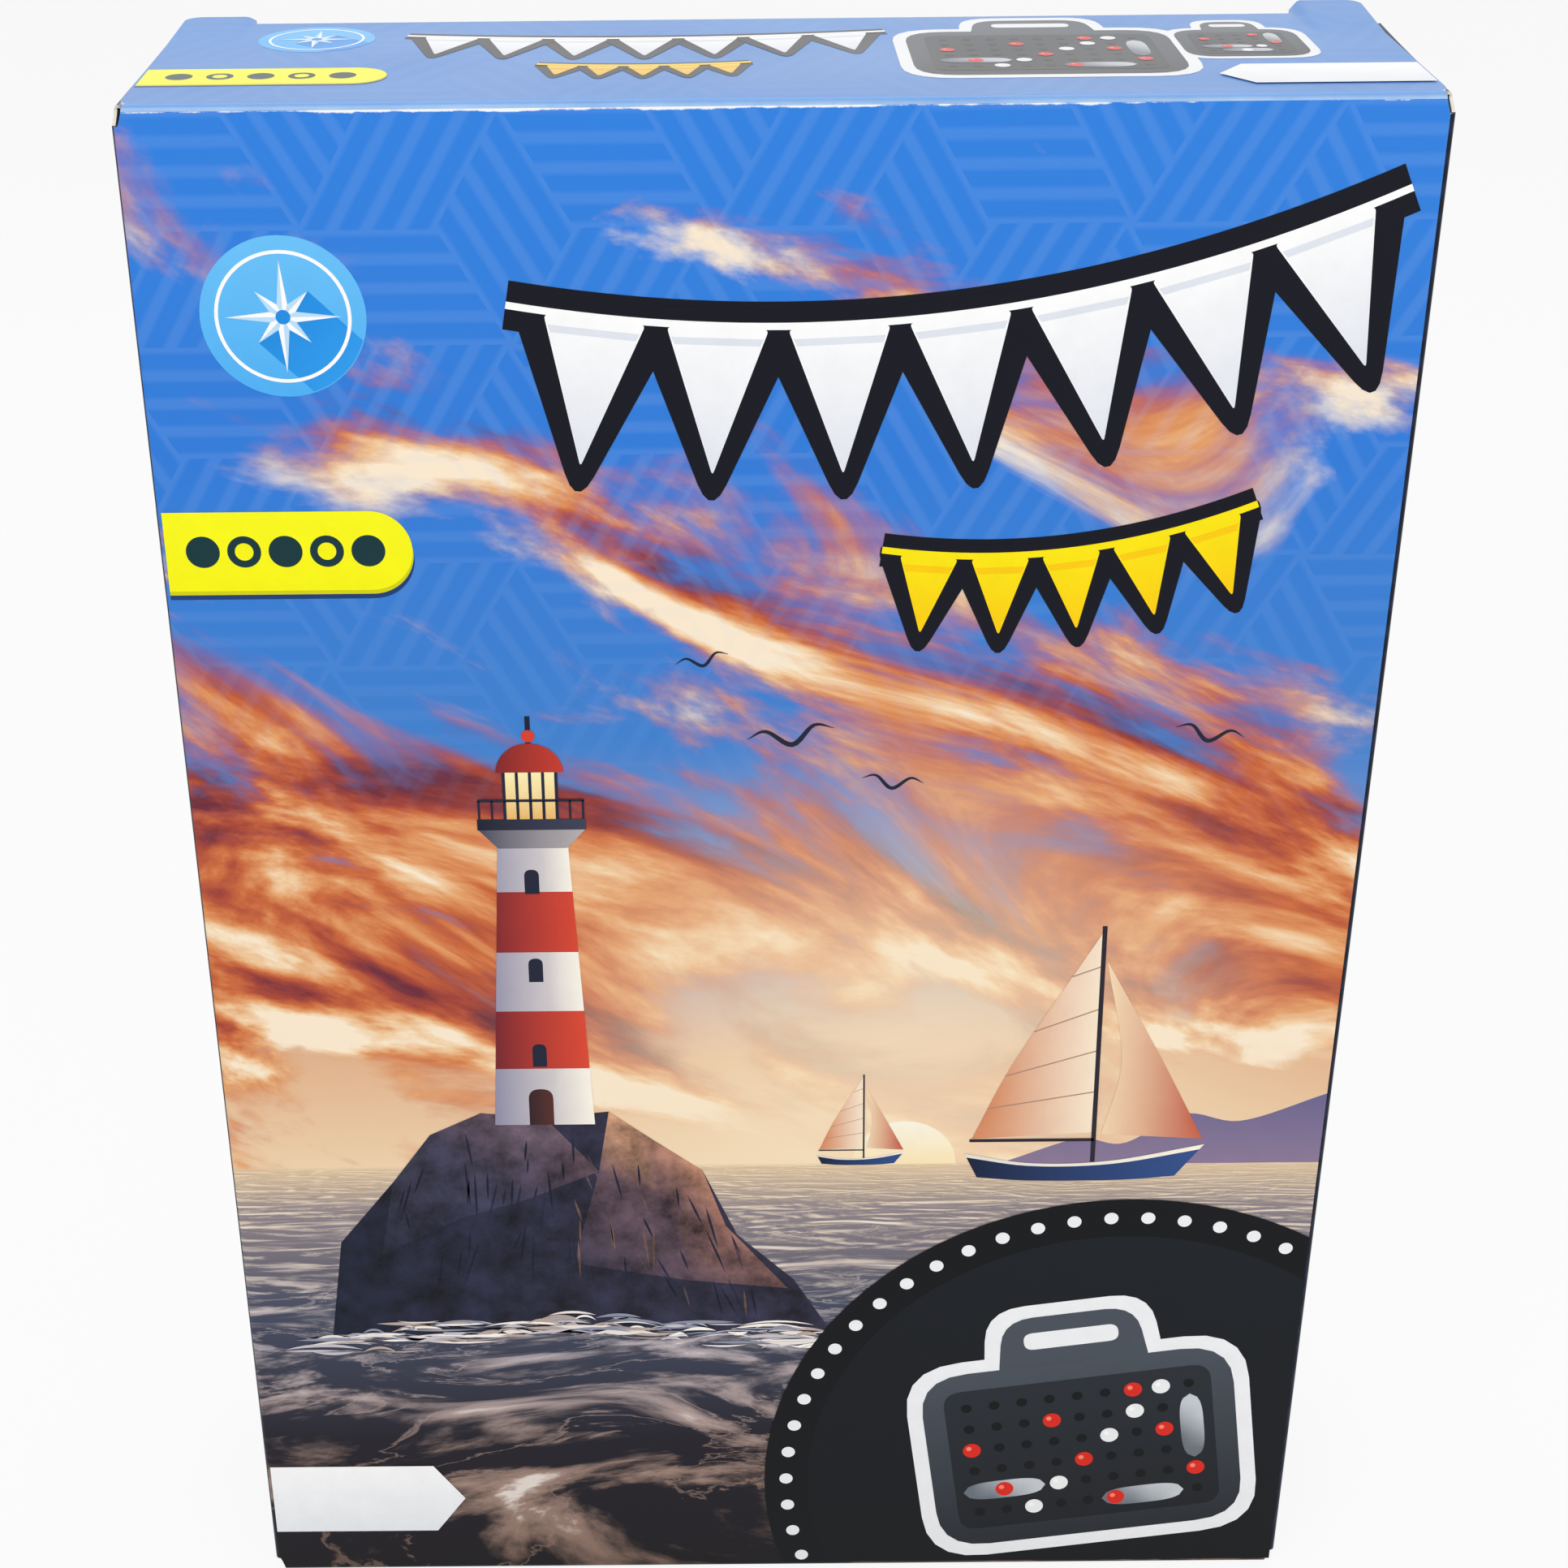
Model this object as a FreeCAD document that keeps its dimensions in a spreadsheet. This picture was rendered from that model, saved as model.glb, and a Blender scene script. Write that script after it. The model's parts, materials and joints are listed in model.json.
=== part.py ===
"""A boxed fleet guessing game: a printed tuck-end carton with two folding peg-board cases inside.

Frame: millimetres, +Z up, the carton's front looks along -Y, origin under the middle of the carton.
The carton is sized around its contents. Each case is drawn in its own frame, with X along its
hinge, Y from the hinge to the handle and Z through its thickness, and then stood on end.
"""
import FreeCAD, Part
import os
import re

import Sketcher

# Driving sizes, in millimetres and degrees.
SIZES = {
    # folding board of the carton
    "card": 0.5,
    "fold_gap": 0.05,
    "ply_gap": 0.25,
    "lid_inset": 1.2,
    "corner_relief": 1.6,
    "ear_width": 11.4,
    "ear_overhang": 1.5,
    "slit_gap": 0.3,
    "tongue_reach": 14.0,
    "tongue_lean": 7.0,
    "tongue_gap": 1.0,
    "tongue_corner": 9.0,
    "tongue_side_gap": 2.0,
    "dust_reach": 40.0,
    "dust_front_gap": 0.8,
    "dust_taper": 0.55,
    "dust_tuck_gap": 6.5,
    "glue_flap_width": 14.0,
    "glue_flap_end_gap": 6.0,
    # room that the carton leaves around its contents
    "side_room": 3.2,
    "headspace": 17.2,
    "tuck_room": 4.0,
    "rest_gap": 0.3,
    # leaflet of rules between the cases
    "leaflet_thickness": 0.6,
    "leaflet_width": 130.0,
    "leaflet_height": 186.0,
    # shells of a case
    "case_wall": 1.8,
    "case_round": 4.0,
    "corner_cut": 34.0,
    "hinge_cut": 18.0,
    "bin_length": 56.2,
    "board_room": 4.2,
    "stow_gap": 0.4,
    # carrying handle, half of it on each shell
    "handle_root": 96.0,
    "handle_tip": 72.0,
    "handle_reach": 27.0,
    "handle_half": 6.0,
    "handle_corner": 8.0,
    "slot_length": 58.0,
    "slot_height": 13.0,
    "slot_rim": 5.5,
    "slot_corner": 5.0,
    # hinge of a case
    "hinge_out": 3.0,
    "knuckle_radius": 2.6,
    "knuckle_length": 28.0,
    "knuckle_gap": 0.4,
    "web_gap": 0.15,
    "rod_radius": 1.2,
    "rod_play": 0.1,
    # latches beside the handle
    "latch_width": 20.0,
    "latch_from_handle": 8.0,
    "latch_thickness": 1.5,
    "latch_hook": 1.5,
    "latch_play": 0.1,
    "rib_height": 1.3,
    "rib_width": 1.6,
    "rib_from_seam": 4.5,
    # peg boards
    "hole_pitch": 13.0,
    "hole_radius": 1.7,
    "board_plate": 2.0,
    "board_skirt": 1.5,
    "board_end": 12.5,
    "board_side": 10.5,
    # ships
    "ship_beam": 9.0,
    "ship_hull": 3.6,
    "ship_house": 1.4,
    "house_length": 5.5,
    "house_width": 5.0,
    "ship_gap": 1.0,
    "ship_pin": 4.0,
    "pin_end_gap": 2.0,
    "deck_hole_depth": 2.6,
    # pegs
    "peg_radius": 1.5,
    "peg_shaft": 4.5,
    "peg_end_gap": 0.5,
    "peg_head": 5.0,
    "peg_head_radius": 2.3,
    "peg_head_round": 0.6,
    "peg_row_pitch": 6.5,
    "peg_column_gap": 4.0,
}

GRID = 10
KNUCKLES = 5

# Sizes of a case that follow from what it holds.
BOARD_LENGTH = f"({GRID - 1} * hole_pitch + 2 * board_end)"
BOARD_WIDTH = f"({GRID - 1} * hole_pitch + 2 * board_side)"
CASE_LENGTH = f"({BOARD_LENGTH} + 2 * (bin_length + case_wall))"
CASE_BODY = f"({BOARD_WIDTH} + 2 * (case_wall + board_room))"
OCEAN_RISE = "(ship_pin + pin_end_gap)"
TARGET_RISE = "(peg_shaft + peg_end_gap)"
OCEAN_FACE = f"(case_wall + {OCEAN_RISE})"
SEAM = f"({OCEAN_FACE} + ship_hull + ship_house + stow_gap)"
LID_DEPTH = f"(case_wall + {TARGET_RISE} + peg_head)"
CASE_THICKNESS = f"({SEAM} + {LID_DEPTH})"
TARGET_FACE = f"({SEAM} + peg_head)"
HINGE_SIDE = "(hinge_out + knuckle_radius)"
CASE_SPAN = f"({HINGE_SIDE} + {CASE_BODY} + handle_reach)"
KNUCKLE_PITCH = "(knuckle_length + knuckle_gap)"
HINGE_LENGTH = f"({KNUCKLES} * {KNUCKLE_PITCH} - knuckle_gap)"
LATCH_PLACE = "(handle_root / 2 + latch_from_handle + latch_width / 2)"

# Sizes of the carton that follow from the cases.
FLAP_STACK = "(2 * card + ply_gap)"
WIDTH = f"({CASE_SPAN} + 2 * (side_room + card))"
HEIGHT = f"({CASE_LENGTH} + headspace + rest_gap + 2 * {FLAP_STACK})"
WALL_DEPTH = f"(2 * {CASE_THICKNESS} + leaflet_thickness + 3 * rest_gap + tuck_room + 2 * card)"
FRONT_OUT = f"(-({WALL_DEPTH} + ear_overhang) / 2)"
FRONT_IN = f"({FRONT_OUT} + card)"
BACK_OUT = f"({FRONT_OUT} + {WALL_DEPTH})"
BACK_IN = f"({BACK_OUT} - card)"
SIDE_AXIS = f"({WIDTH} / 2 - card / 2)"
LID_AXIS = f"({FRONT_OUT} + card / 2)"
LID_HALF = f"({WIDTH} / 2 - lid_inset)"
LID_REACH = f"({WALL_DEPTH} + ear_overhang - card / 2)"
CREASE_HALF = f"({LID_HALF} - ear_width)"
TONGUE_FROM_LID = f"({WALL_DEPTH} - 2 * card - tongue_gap)"
TONGUE_SHOULDER = "(card + ply_gap)"
DUST_REAR = f"({TONGUE_FROM_LID} - dust_tuck_gap)"
DUST_FRONT = "(card / 2 + dust_front_gap)"
DUST_LEVEL = "(card + ply_gap + card / 2)"
HINGED_EDGE = "(card + fold_gap)"
SIDE_EDGE = f"({FLAP_STACK} + fold_gap)"
REST_LEVEL = f"({FLAP_STACK} + rest_gap)"

# Places of the ships on the ocean board: holes, first column, first row, runs along the rows.
SHIPS = {
    "five_hole_ship": (5, 1, 8, False),
    "four_hole_ship": (4, 8, 3, True),
    "three_hole_ship_a": (3, 5, 1, False),
    "three_hole_ship_b": (3, 1, 2, True),
    "two_hole_ship": (2, 5, 5, False),
}

# Columns and rows of the pegs that mark shots on the target board.
RED_SHOTS = ((1, 2), (2, 2), (3, 2), (6, 1), (6, 2), (8, 5), (8, 6), (2, 7), (5, 8), (6, 8))
WHITE_SHOTS = ((0, 5), (2, 4), (4, 0), (4, 6), (5, 4), (7, 3), (7, 8), (9, 1), (3, 9), (9, 7))
LOOSE_ROWS = 7
LOOSE_COLUMNS = 2

doc = FreeCAD.newDocument("boxed_fleet_guessing_game")
sheet = doc.addObject("Spreadsheet::Sheet", "Sizes")
for row, (alias, size) in enumerate(SIZES.items(), start=1):
    sheet.set(f"A{row}", str(size))
    sheet.setAlias(f"A{row}", alias)
doc.recompute()

pieces = []


def bound(formula):
    """Return a formula over the sizes as an expression on the sheet's cells."""
    return re.sub(r"[a-z_]+", lambda word: f"Sizes.{word[0]}" if word[0] in SIZES else word[0], formula)


def value(formula):
    """Return the number that a formula over the sizes has now."""
    return float(sheet.evalExpression(bound(formula)))


def new_body(label):
    """Start a sub-part."""
    body = doc.addObject("PartDesign::Body", label)
    body.Label = label
    pieces.append(body)
    return body


def origin_of(body, role):
    """Return a body's own origin plane or axis."""
    return next(item for item in body.Origin.OriginFeatures if item.Role == role)


def sketch_on(body, plane, level="0"):
    """Start a sketch parallel to one of the body's origin planes."""
    sketch = body.newObject("Sketcher::SketchObject", f"{body.Name}_sketch")
    sketch.AttachmentSupport = [(origin_of(body, plane), "")]
    sketch.MapMode = "FlatFace"
    sketch.setExpression("AttachmentOffset.Base.z", bound(level))
    return sketch


def pin_point(sketch, geometry, end, place):
    """Tie a point of a sketch to its two coordinates."""
    for kind, formula in zip(("DistanceX", "DistanceY"), place):
        index = sketch.addConstraint(Sketcher.Constraint(kind, -1, 1, geometry, end, value(formula)))
        sketch.setExpression(f"Constraints[{index}]", bound(formula))


def draw_polygon(sketch, corners):
    """Draw a closed outline with straight sides."""
    places = [FreeCAD.Vector(value(across), value(along), 0) for across, along in corners]
    for start, end in zip(places, places[1:] + places[:1]):
        sketch.addGeometry(Part.LineSegment(start, end))
    for side in range(len(places)):
        sketch.addConstraint(Sketcher.Constraint("Coincident", side, 2, (side + 1) % len(places), 1))
    for side, corner in enumerate(corners):
        pin_point(sketch, side, 1, corner)


def draw_circle(sketch, centre, radius):
    """Draw a circle."""
    middle = FreeCAD.Vector(value(centre[0]), value(centre[1]), 0)
    index = sketch.addGeometry(Part.Circle(middle, FreeCAD.Vector(0, 0, 1), value(radius)))
    rule = sketch.addConstraint(Sketcher.Constraint("Radius", index, value(radius)))
    sketch.setExpression(f"Constraints[{rule}]", bound(radius))
    pin_point(sketch, index, 3, centre)


def rectangle(left, right, near, far):
    """Return the corners of a rectangle."""
    return [(left, near), (right, near), (right, far), (left, far)]


def pad(sketch, length, midplane=False, downward=False):
    """Raise a sketch into a solid."""
    feature = sketch.getParentGeoFeatureGroup().newObject("PartDesign::Pad", f"{sketch.Name}_pad")
    feature.Profile = sketch
    feature.setExpression("Length", bound(length))
    feature.Midplane = midplane
    feature.Reversed = downward
    doc.recompute()
    return feature


def pocket(sketch, depth=None, upward=False):
    """Cut a sketch out of the solid, to a depth or right through on both sides."""
    body = sketch.getParentGeoFeatureGroup()
    before = body.Shape.Volume
    feature = body.newObject("PartDesign::Pocket", f"{sketch.Name}_pocket")
    feature.Profile = sketch
    if depth is None:
        feature.Type = "ThroughAll"
        feature.Midplane = True
    else:
        feature.setExpression("Length", bound(depth))
        feature.Reversed = upward
    doc.recompute()
    if not feature.Shape.Volume < before:
        raise RuntimeError(f"{body.Label}: a pocket cuts nothing")
    return feature


def repeat(features, count, spacing):
    """Repeat features along the body's X axis."""
    body = features[0].getParentGeoFeatureGroup()
    pattern = body.newObject("PartDesign::LinearPattern", f"{body.Name}_pattern")
    pattern.Originals = features
    pattern.Direction = (origin_of(body, "X_Axis"), [""])
    pattern.Mode = "Spacing"
    pattern.Occurrences = count
    pattern.setExpression("Offset", bound(spacing))
    body.Tip = pattern
    doc.recompute()
    return pattern


def round_edges(body, radius, wanted):
    """Round the edges whose ends and direction pass a test."""
    base, names = body.Tip, []
    for number, edge in enumerate(base.Shape.Edges, start=1):
        run = edge.lastVertex().Point - edge.firstVertex().Point
        if run.Length > 0 and wanted(edge.CenterOfMass, run.normalize()):
            names.append(f"Edge{number}")
    feature = body.newObject("PartDesign::Fillet", f"{body.Name}_fillet")
    feature.Base = (base, names)
    feature.setExpression("Radius", bound(radius))
    doc.recompute()
    return feature


def put(piece, base, axis=(0, 0, 1), angle="0"):
    """Give a sub-part its place."""
    piece.Placement = FreeCAD.Placement(FreeCAD.Vector(), FreeCAD.Rotation(FreeCAD.Vector(*axis), 0))
    for name, formula in zip("xyz", base):
        piece.setExpression(f"Placement.Base.{name}", bound(formula))
    piece.setExpression("Placement.Rotation.Angle", bound(angle))


# Carton walls

def wall(label, plane, outer, corners):
    """Make one wall of the carton's sleeve; outer is where its sketch plane lies."""
    sketch = sketch_on(new_body(label), plane, outer)
    draw_polygon(sketch, corners)
    pad(sketch, "card")


def make_walls():
    """Make the four walls of the sleeve and the flap that glues it shut."""
    half = f"({WIDTH} / 2)"
    low, high = HINGED_EDGE, f"({HEIGHT} - {HINGED_EDGE})"
    relief = f"({half} - corner_relief)"
    wall("front_panel", "XZ_Plane", f"-{FRONT_IN}", [
        (f"-{relief}", low), (relief, low), (half, f"{low} + corner_relief"),
        (half, f"{high} - corner_relief"), (relief, high), (f"-{relief}", high),
        (f"-{half}", f"{high} - corner_relief"), (f"-{half}", f"{low} + corner_relief"),
    ])
    notch = f"({CREASE_HALF} - slit_gap)"
    wall("back_panel", "XZ_Plane", f"-{BACK_OUT}", [
        (f"-{notch}", "0"), (notch, "0"), (notch, low), (half, low), (half, high), (notch, high),
        (notch, HEIGHT), (f"-{notch}", HEIGHT), (f"-{notch}", high), (f"-{half}", high),
        (f"-{half}", low), (f"-{notch}", low),
    ])
    side = rectangle(FRONT_IN, BACK_IN, SIDE_EDGE, f"{HEIGHT} - {SIDE_EDGE}")
    wall("left_panel", "YZ_Plane", f"-{half}", side)
    wall("right_panel", "YZ_Plane", f"{half} - card", side)
    edge = f"({BACK_IN} - glue_flap_width)"
    end = f"({SIDE_EDGE} + glue_flap_end_gap)"
    wall("glue_flap", "YZ_Plane", f"-{half} + card", [
        (BACK_IN, end), (BACK_IN, f"{HEIGHT} - {end}"),
        (edge, f"{HEIGHT} - {end} - glue_flap_width / 2"), (edge, f"{end} + glue_flap_width / 2"),
    ])


# Carton flaps: each turns about its own X axis, which its rounded fold is centred on.

def flap(label, outline, fold_from, fold_to):
    """Make a flap that reaches along +Y from a rounded fold on the X axis."""
    body = new_body(label)
    plate = sketch_on(body, "XY_Plane")
    draw_polygon(plate, outline)
    pad(plate, "card", midplane=True)
    fold = sketch_on(body, "YZ_Plane", fold_from)
    draw_circle(fold, ("0", "0"), "card / 2")
    pad(fold, f"{fold_to} - ({fold_from})")
    return body


def make_lid(end, level):
    """Make the lid at one end of the carton, with an ear at each rear corner."""
    notch = f"({TONGUE_FROM_LID} - card / 2 - fold_gap)"
    lid = flap(f"{end}_lid", [
        (f"-{LID_HALF}", "0"), (LID_HALF, "0"), (LID_HALF, LID_REACH), (CREASE_HALF, LID_REACH),
        (CREASE_HALF, notch), (f"-{CREASE_HALF}", notch), (f"-{CREASE_HALF}", LID_REACH),
        (f"-{LID_HALF}", LID_REACH),
    ], f"-{LID_HALF}", LID_HALF)
    put(lid, ("0", LID_AXIS, level("card / 2")))


def make_tongue(end, level, turn):
    """Make the tongue that tucks in behind the contents, leaning away from the back wall."""
    half = f"({WIDTH} / 2 - card - tongue_side_gap)"
    crease = f"({CREASE_HALF} - slit_gap)"
    tongue = flap(f"{end}_tongue", [
        (f"-{crease}", "0"), (crease, "0"), (crease, TONGUE_SHOULDER), (half, TONGUE_SHOULDER),
        (half, "tongue_reach"), (f"-{half}", "tongue_reach"), (f"-{half}", TONGUE_SHOULDER),
        (f"-{crease}", TONGUE_SHOULDER),
    ], f"-{crease}", crease)
    tip = value("tongue_reach")
    round_edges(tongue, "tongue_corner", lambda at, run: abs(run.z) > 0.9 and abs(at.y - tip) < 0.01)
    place = ("0", f"{LID_AXIS} + {TONGUE_FROM_LID}", level("card / 2"))
    put(tongue, place, (1, 0, 0), f"{turn} * (90 + tongue_lean)")


def make_dust_flaps(end, level):
    """Make the two flaps that fold in over the contents, cut back towards the lid's fold."""
    tip_front = f"({DUST_FRONT} + dust_taper * dust_reach)"
    for side, facing, fold_in in (("left", -1, -1), ("right", 1, 1)):
        outline = [
            (f"{facing} * {DUST_REAR}", "0"), (f"{facing} * {DUST_FRONT}", "0"),
            (f"{facing} * {tip_front}", "dust_reach"), (f"{facing} * {DUST_REAR}", "dust_reach"),
        ]
        fold_ends = sorted((f"{facing} * {DUST_REAR}", f"{facing} * {DUST_FRONT}"), key=value)
        dust = flap(f"{end}_dust_{side}", outline, *fold_ends)
        put(dust, (f"{facing} * {SIDE_AXIS}", LID_AXIS, level(DUST_LEVEL)), (0, 0, 1), f"{fold_in} * 90")


def make_closures():
    """Make both ends of the carton, which are alike."""
    ends = (("top", lambda inward: f"{HEIGHT} - ({inward})", -1), ("bottom", lambda inward: inward, 1))
    for end, level, turn in ends:
        make_lid(end, level)
        make_tongue(end, level, turn)
        make_dust_flaps(end, level)


def make_leaflet():
    """Make the folded leaflet that stands between the cases."""
    leaflet = doc.addObject("Part::Box", "rules_leaflet")
    pieces.append(leaflet)
    leaflet.setExpression("Length", bound("leaflet_width"))
    leaflet.setExpression("Width", bound("leaflet_thickness"))
    leaflet.setExpression("Height", bound("leaflet_height"))
    put(leaflet, ("-leaflet_width / 2", f"{FRONT_IN} + {CASE_THICKNESS} + 2 * rest_gap", REST_LEVEL))


# Cases

class Case:
    """The place of one case in the carton, from its own frame."""

    def __init__(self, name, facing):
        """Take a name and a facing: 1 puts the base at the front, -1 turns the case about Z."""
        self.name = name
        self.facing = facing
        stack = f"({CASE_THICKNESS} + leaflet_thickness + 3 * rest_gap + {CASE_THICKNESS})"
        self.base_face = f"({FRONT_IN} + rest_gap)" if facing > 0 else f"({FRONT_IN} + {stack})"
        self.turn = FreeCAD.Rotation(FreeCAD.Vector(0, 0, 1), 0 if facing > 0 else 180)
        self.upright = self.turn.multiply(FreeCAD.Rotation(FreeCAD.Vector(1, 1, 1), -120))

    def place(self, piece, along="0", across="0", above="0", quarter_turns=0, stand=True):
        """Seat a piece that is drawn at a point of the case's frame."""
        spin = FreeCAD.Rotation(FreeCAD.Vector(0, 0, 1), 90 * quarter_turns)
        turned = self.upright.multiply(spin) if stand else FreeCAD.Rotation()
        piece.Placement = FreeCAD.Placement(FreeCAD.Vector(), turned)
        base = (
            f"{self.facing} * ({HINGE_SIDE} - {CASE_SPAN} / 2 + {across})",
            f"{self.base_face} + {self.facing} * ({above})",
            f"{REST_LEVEL} + {CASE_LENGTH} / 2 + {along}",
        )
        for name, formula in zip("xyz", base):
            piece.setExpression(f"Placement.Base.{name}", bound(formula))


def octagon(inset):
    """Return a case's outline, moved inwards by an inset."""
    far = f"({CASE_LENGTH} / 2 - {inset})"
    hinge = f"(hinge_cut - (2 - sqrt(2)) * {inset})"
    corner = f"(corner_cut - (2 - sqrt(2)) * {inset})"
    low, high = inset, f"({CASE_BODY} - {inset})"
    right = [
        (f"{far} - {hinge}", low), (far, f"{low} + {hinge}"),
        (far, f"{high} - {corner}"), (f"{far} - {corner}", high),
    ]
    left = [(f"-({along})", across) for along, across in reversed(right)]
    return right + left


def add_handle_half(body, lower):
    """Add half of the carrying handle, with its slot, above a level."""
    outer = f"({CASE_BODY} + handle_reach)"
    grip = sketch_on(body, "XY_Plane", lower)
    draw_polygon(grip, [
        ("-handle_root / 2", f"{CASE_BODY} - case_wall"), ("handle_root / 2", f"{CASE_BODY} - case_wall"),
        ("handle_root / 2", CASE_BODY), ("handle_tip / 2", outer), ("-handle_tip / 2", outer),
        ("-handle_root / 2", CASE_BODY),
    ])
    pad(grip, "handle_half")
    tip = value(outer)
    round_edges(body, "handle_corner", lambda at, run: abs(run.z) > 0.9 and abs(at.y - tip) < 0.01)
    slot = sketch_on(body, "XY_Plane", lower)
    near = f"({CASE_BODY} + slot_rim)"
    draw_polygon(slot, rectangle("-slot_length / 2", "slot_length / 2", near, f"{near} + slot_height"))
    pocket(slot)
    edges = (value(near), value(f"{near} + slot_height"))
    round_edges(body, "slot_corner", lambda at, run: abs(run.z) > 0.9
                and min(abs(at.y - edge) for edge in edges) < 0.01)


def add_latch_ribs(body, level):
    """Add the two ribs that the latches hook over."""
    for side in (-1, 1):
        rib = sketch_on(body, "YZ_Plane", f"{side} * {LATCH_PLACE}")
        low, high = f"{level} - rib_width / 2", f"{level} + rib_width / 2"
        draw_polygon(rib, rectangle(f"{CASE_BODY} - case_wall / 2", f"{CASE_BODY} + rib_height", low, high))
        pad(rib, "latch_width", midplane=True)


def add_knuckles(body, first, web_low, web_high):
    """Add every second knuckle of the hinge, each on a web, and bore them."""
    start = f"({first} * {KNUCKLE_PITCH} - {HINGE_LENGTH} / 2)"
    barrel = sketch_on(body, "YZ_Plane", start)
    draw_circle(barrel, ("-hinge_out", SEAM), "knuckle_radius")
    web = sketch_on(body, "YZ_Plane", start)
    draw_polygon(web, rectangle("-hinge_out", "case_wall / 2", web_low, web_high))
    raised = [pad(web, "knuckle_length"), pad(barrel, "knuckle_length")]
    repeat(raised, (KNUCKLES + 1 - first) // 2, f"2 * {KNUCKLE_PITCH}")
    bore = sketch_on(body, "YZ_Plane")
    draw_circle(bore, ("-hinge_out", SEAM), "rod_radius + rod_play")
    pocket(bore)


def make_base_shell(case):
    """Make the lower shell of a case."""
    body = new_body(f"{case.name}_base_shell")
    outline = sketch_on(body, "XY_Plane")
    draw_polygon(outline, octagon("0"))
    pad(outline, SEAM)
    round_edges(body, "case_round", lambda at, run: abs(at.z) < 0.01)
    hollow = sketch_on(body, "XY_Plane", SEAM)
    draw_polygon(hollow, octagon("case_wall"))
    pocket(hollow, f"{SEAM} - case_wall")
    add_handle_half(body, f"{SEAM} - handle_half")
    add_latch_ribs(body, f"({SEAM} - rib_from_seam)")
    add_knuckles(body, 0, f"{SEAM} - knuckle_radius", f"{SEAM} - web_gap")
    case.place(body)


def make_lid_shell(case):
    """Make the upper shell of a case."""
    body = new_body(f"{case.name}_lid_shell")
    outline = sketch_on(body, "XY_Plane", SEAM)
    draw_polygon(outline, octagon("0"))
    pad(outline, LID_DEPTH)
    top = value(CASE_THICKNESS)
    round_edges(body, "case_round", lambda at, run: abs(at.z - top) < 0.01)
    hollow = sketch_on(body, "XY_Plane", SEAM)
    draw_polygon(hollow, octagon("case_wall"))
    pocket(hollow, f"{LID_DEPTH} - case_wall", upward=True)
    add_handle_half(body, SEAM)
    add_latch_ribs(body, f"({SEAM} + rib_from_seam)")
    add_knuckles(body, 1, f"{SEAM} + web_gap", f"{SEAM} + knuckle_radius")
    case.place(body)


def make_hinge_rod(case):
    """Make the rod that the knuckles turn on."""
    rod = doc.addObject("Part::Cylinder", f"{case.name}_hinge_rod")
    pieces.append(rod)
    rod.setExpression("Radius", bound("rod_radius"))
    rod.setExpression("Height", bound(HINGE_LENGTH))
    case.place(rod, f"-{HINGE_LENGTH} / 2", "-hinge_out", SEAM, stand=False)


def make_latches(case):
    """Make the two snap latches that hook over the ribs of both shells."""
    hook_in = f"({CASE_BODY} + latch_play)"
    clip_in = f"({CASE_BODY} + rib_height + latch_play)"
    clip_out = f"({clip_in} + latch_thickness)"
    reach = "(rib_from_seam + rib_width / 2 + latch_play)"
    low, high = f"({SEAM} - {reach})", f"({SEAM} + {reach})"
    for side, hand in ((-1, "left"), (1, "right")):
        body = new_body(f"{case.name}_latch_{hand}")
        profile = sketch_on(body, "YZ_Plane", f"{side} * {LATCH_PLACE}")
        draw_polygon(profile, [
            (hook_in, f"{low} - latch_hook"), (clip_out, f"{low} - latch_hook"),
            (clip_out, f"{high} + latch_hook"), (hook_in, f"{high} + latch_hook"),
            (hook_in, high), (clip_in, high), (clip_in, low), (hook_in, low),
        ])
        pad(profile, "latch_width", midplane=True)
        case.place(body)


def grid_place(column, row):
    """Return where a hole of the boards lies along and across the case."""
    along = f"({column - (GRID - 1) / 2} * hole_pitch)"
    across = f"({CASE_BODY} / 2 + {row - (GRID - 1) / 2} * hole_pitch)"
    return along, across


def make_board(case, label, seat, rise, opens_down):
    """Make a peg board: a tray on a skirt, with a square grid of holes through its plate."""
    body = new_body(f"{case.name}_{label}")
    middle = f"({CASE_BODY} / 2)"
    slab = sketch_on(body, "XY_Plane", seat)
    half_length, half_width = f"({BOARD_LENGTH} / 2)", f"({BOARD_WIDTH} / 2)"
    draw_polygon(slab, rectangle(f"-{half_length}", half_length,
                                 f"{middle} - {half_width}", f"{middle} + {half_width}"))
    pad(slab, rise)
    hollow = sketch_on(body, "XY_Plane", seat if opens_down else f"{seat} + {rise}")
    inner_length, inner_width = f"({half_length} - board_skirt)", f"({half_width} - board_skirt)"
    draw_polygon(hollow, rectangle(f"-{inner_length}", inner_length,
                                   f"{middle} - {inner_width}", f"{middle} + {inner_width}"))
    pocket(hollow, f"{rise} - board_plate", upward=opens_down)
    first_column = sketch_on(body, "XY_Plane", seat)
    for row in range(GRID):
        draw_circle(first_column, grid_place(0, row), "hole_radius")
    repeat([pocket(first_column)], GRID, "hole_pitch")
    case.place(body)


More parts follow.
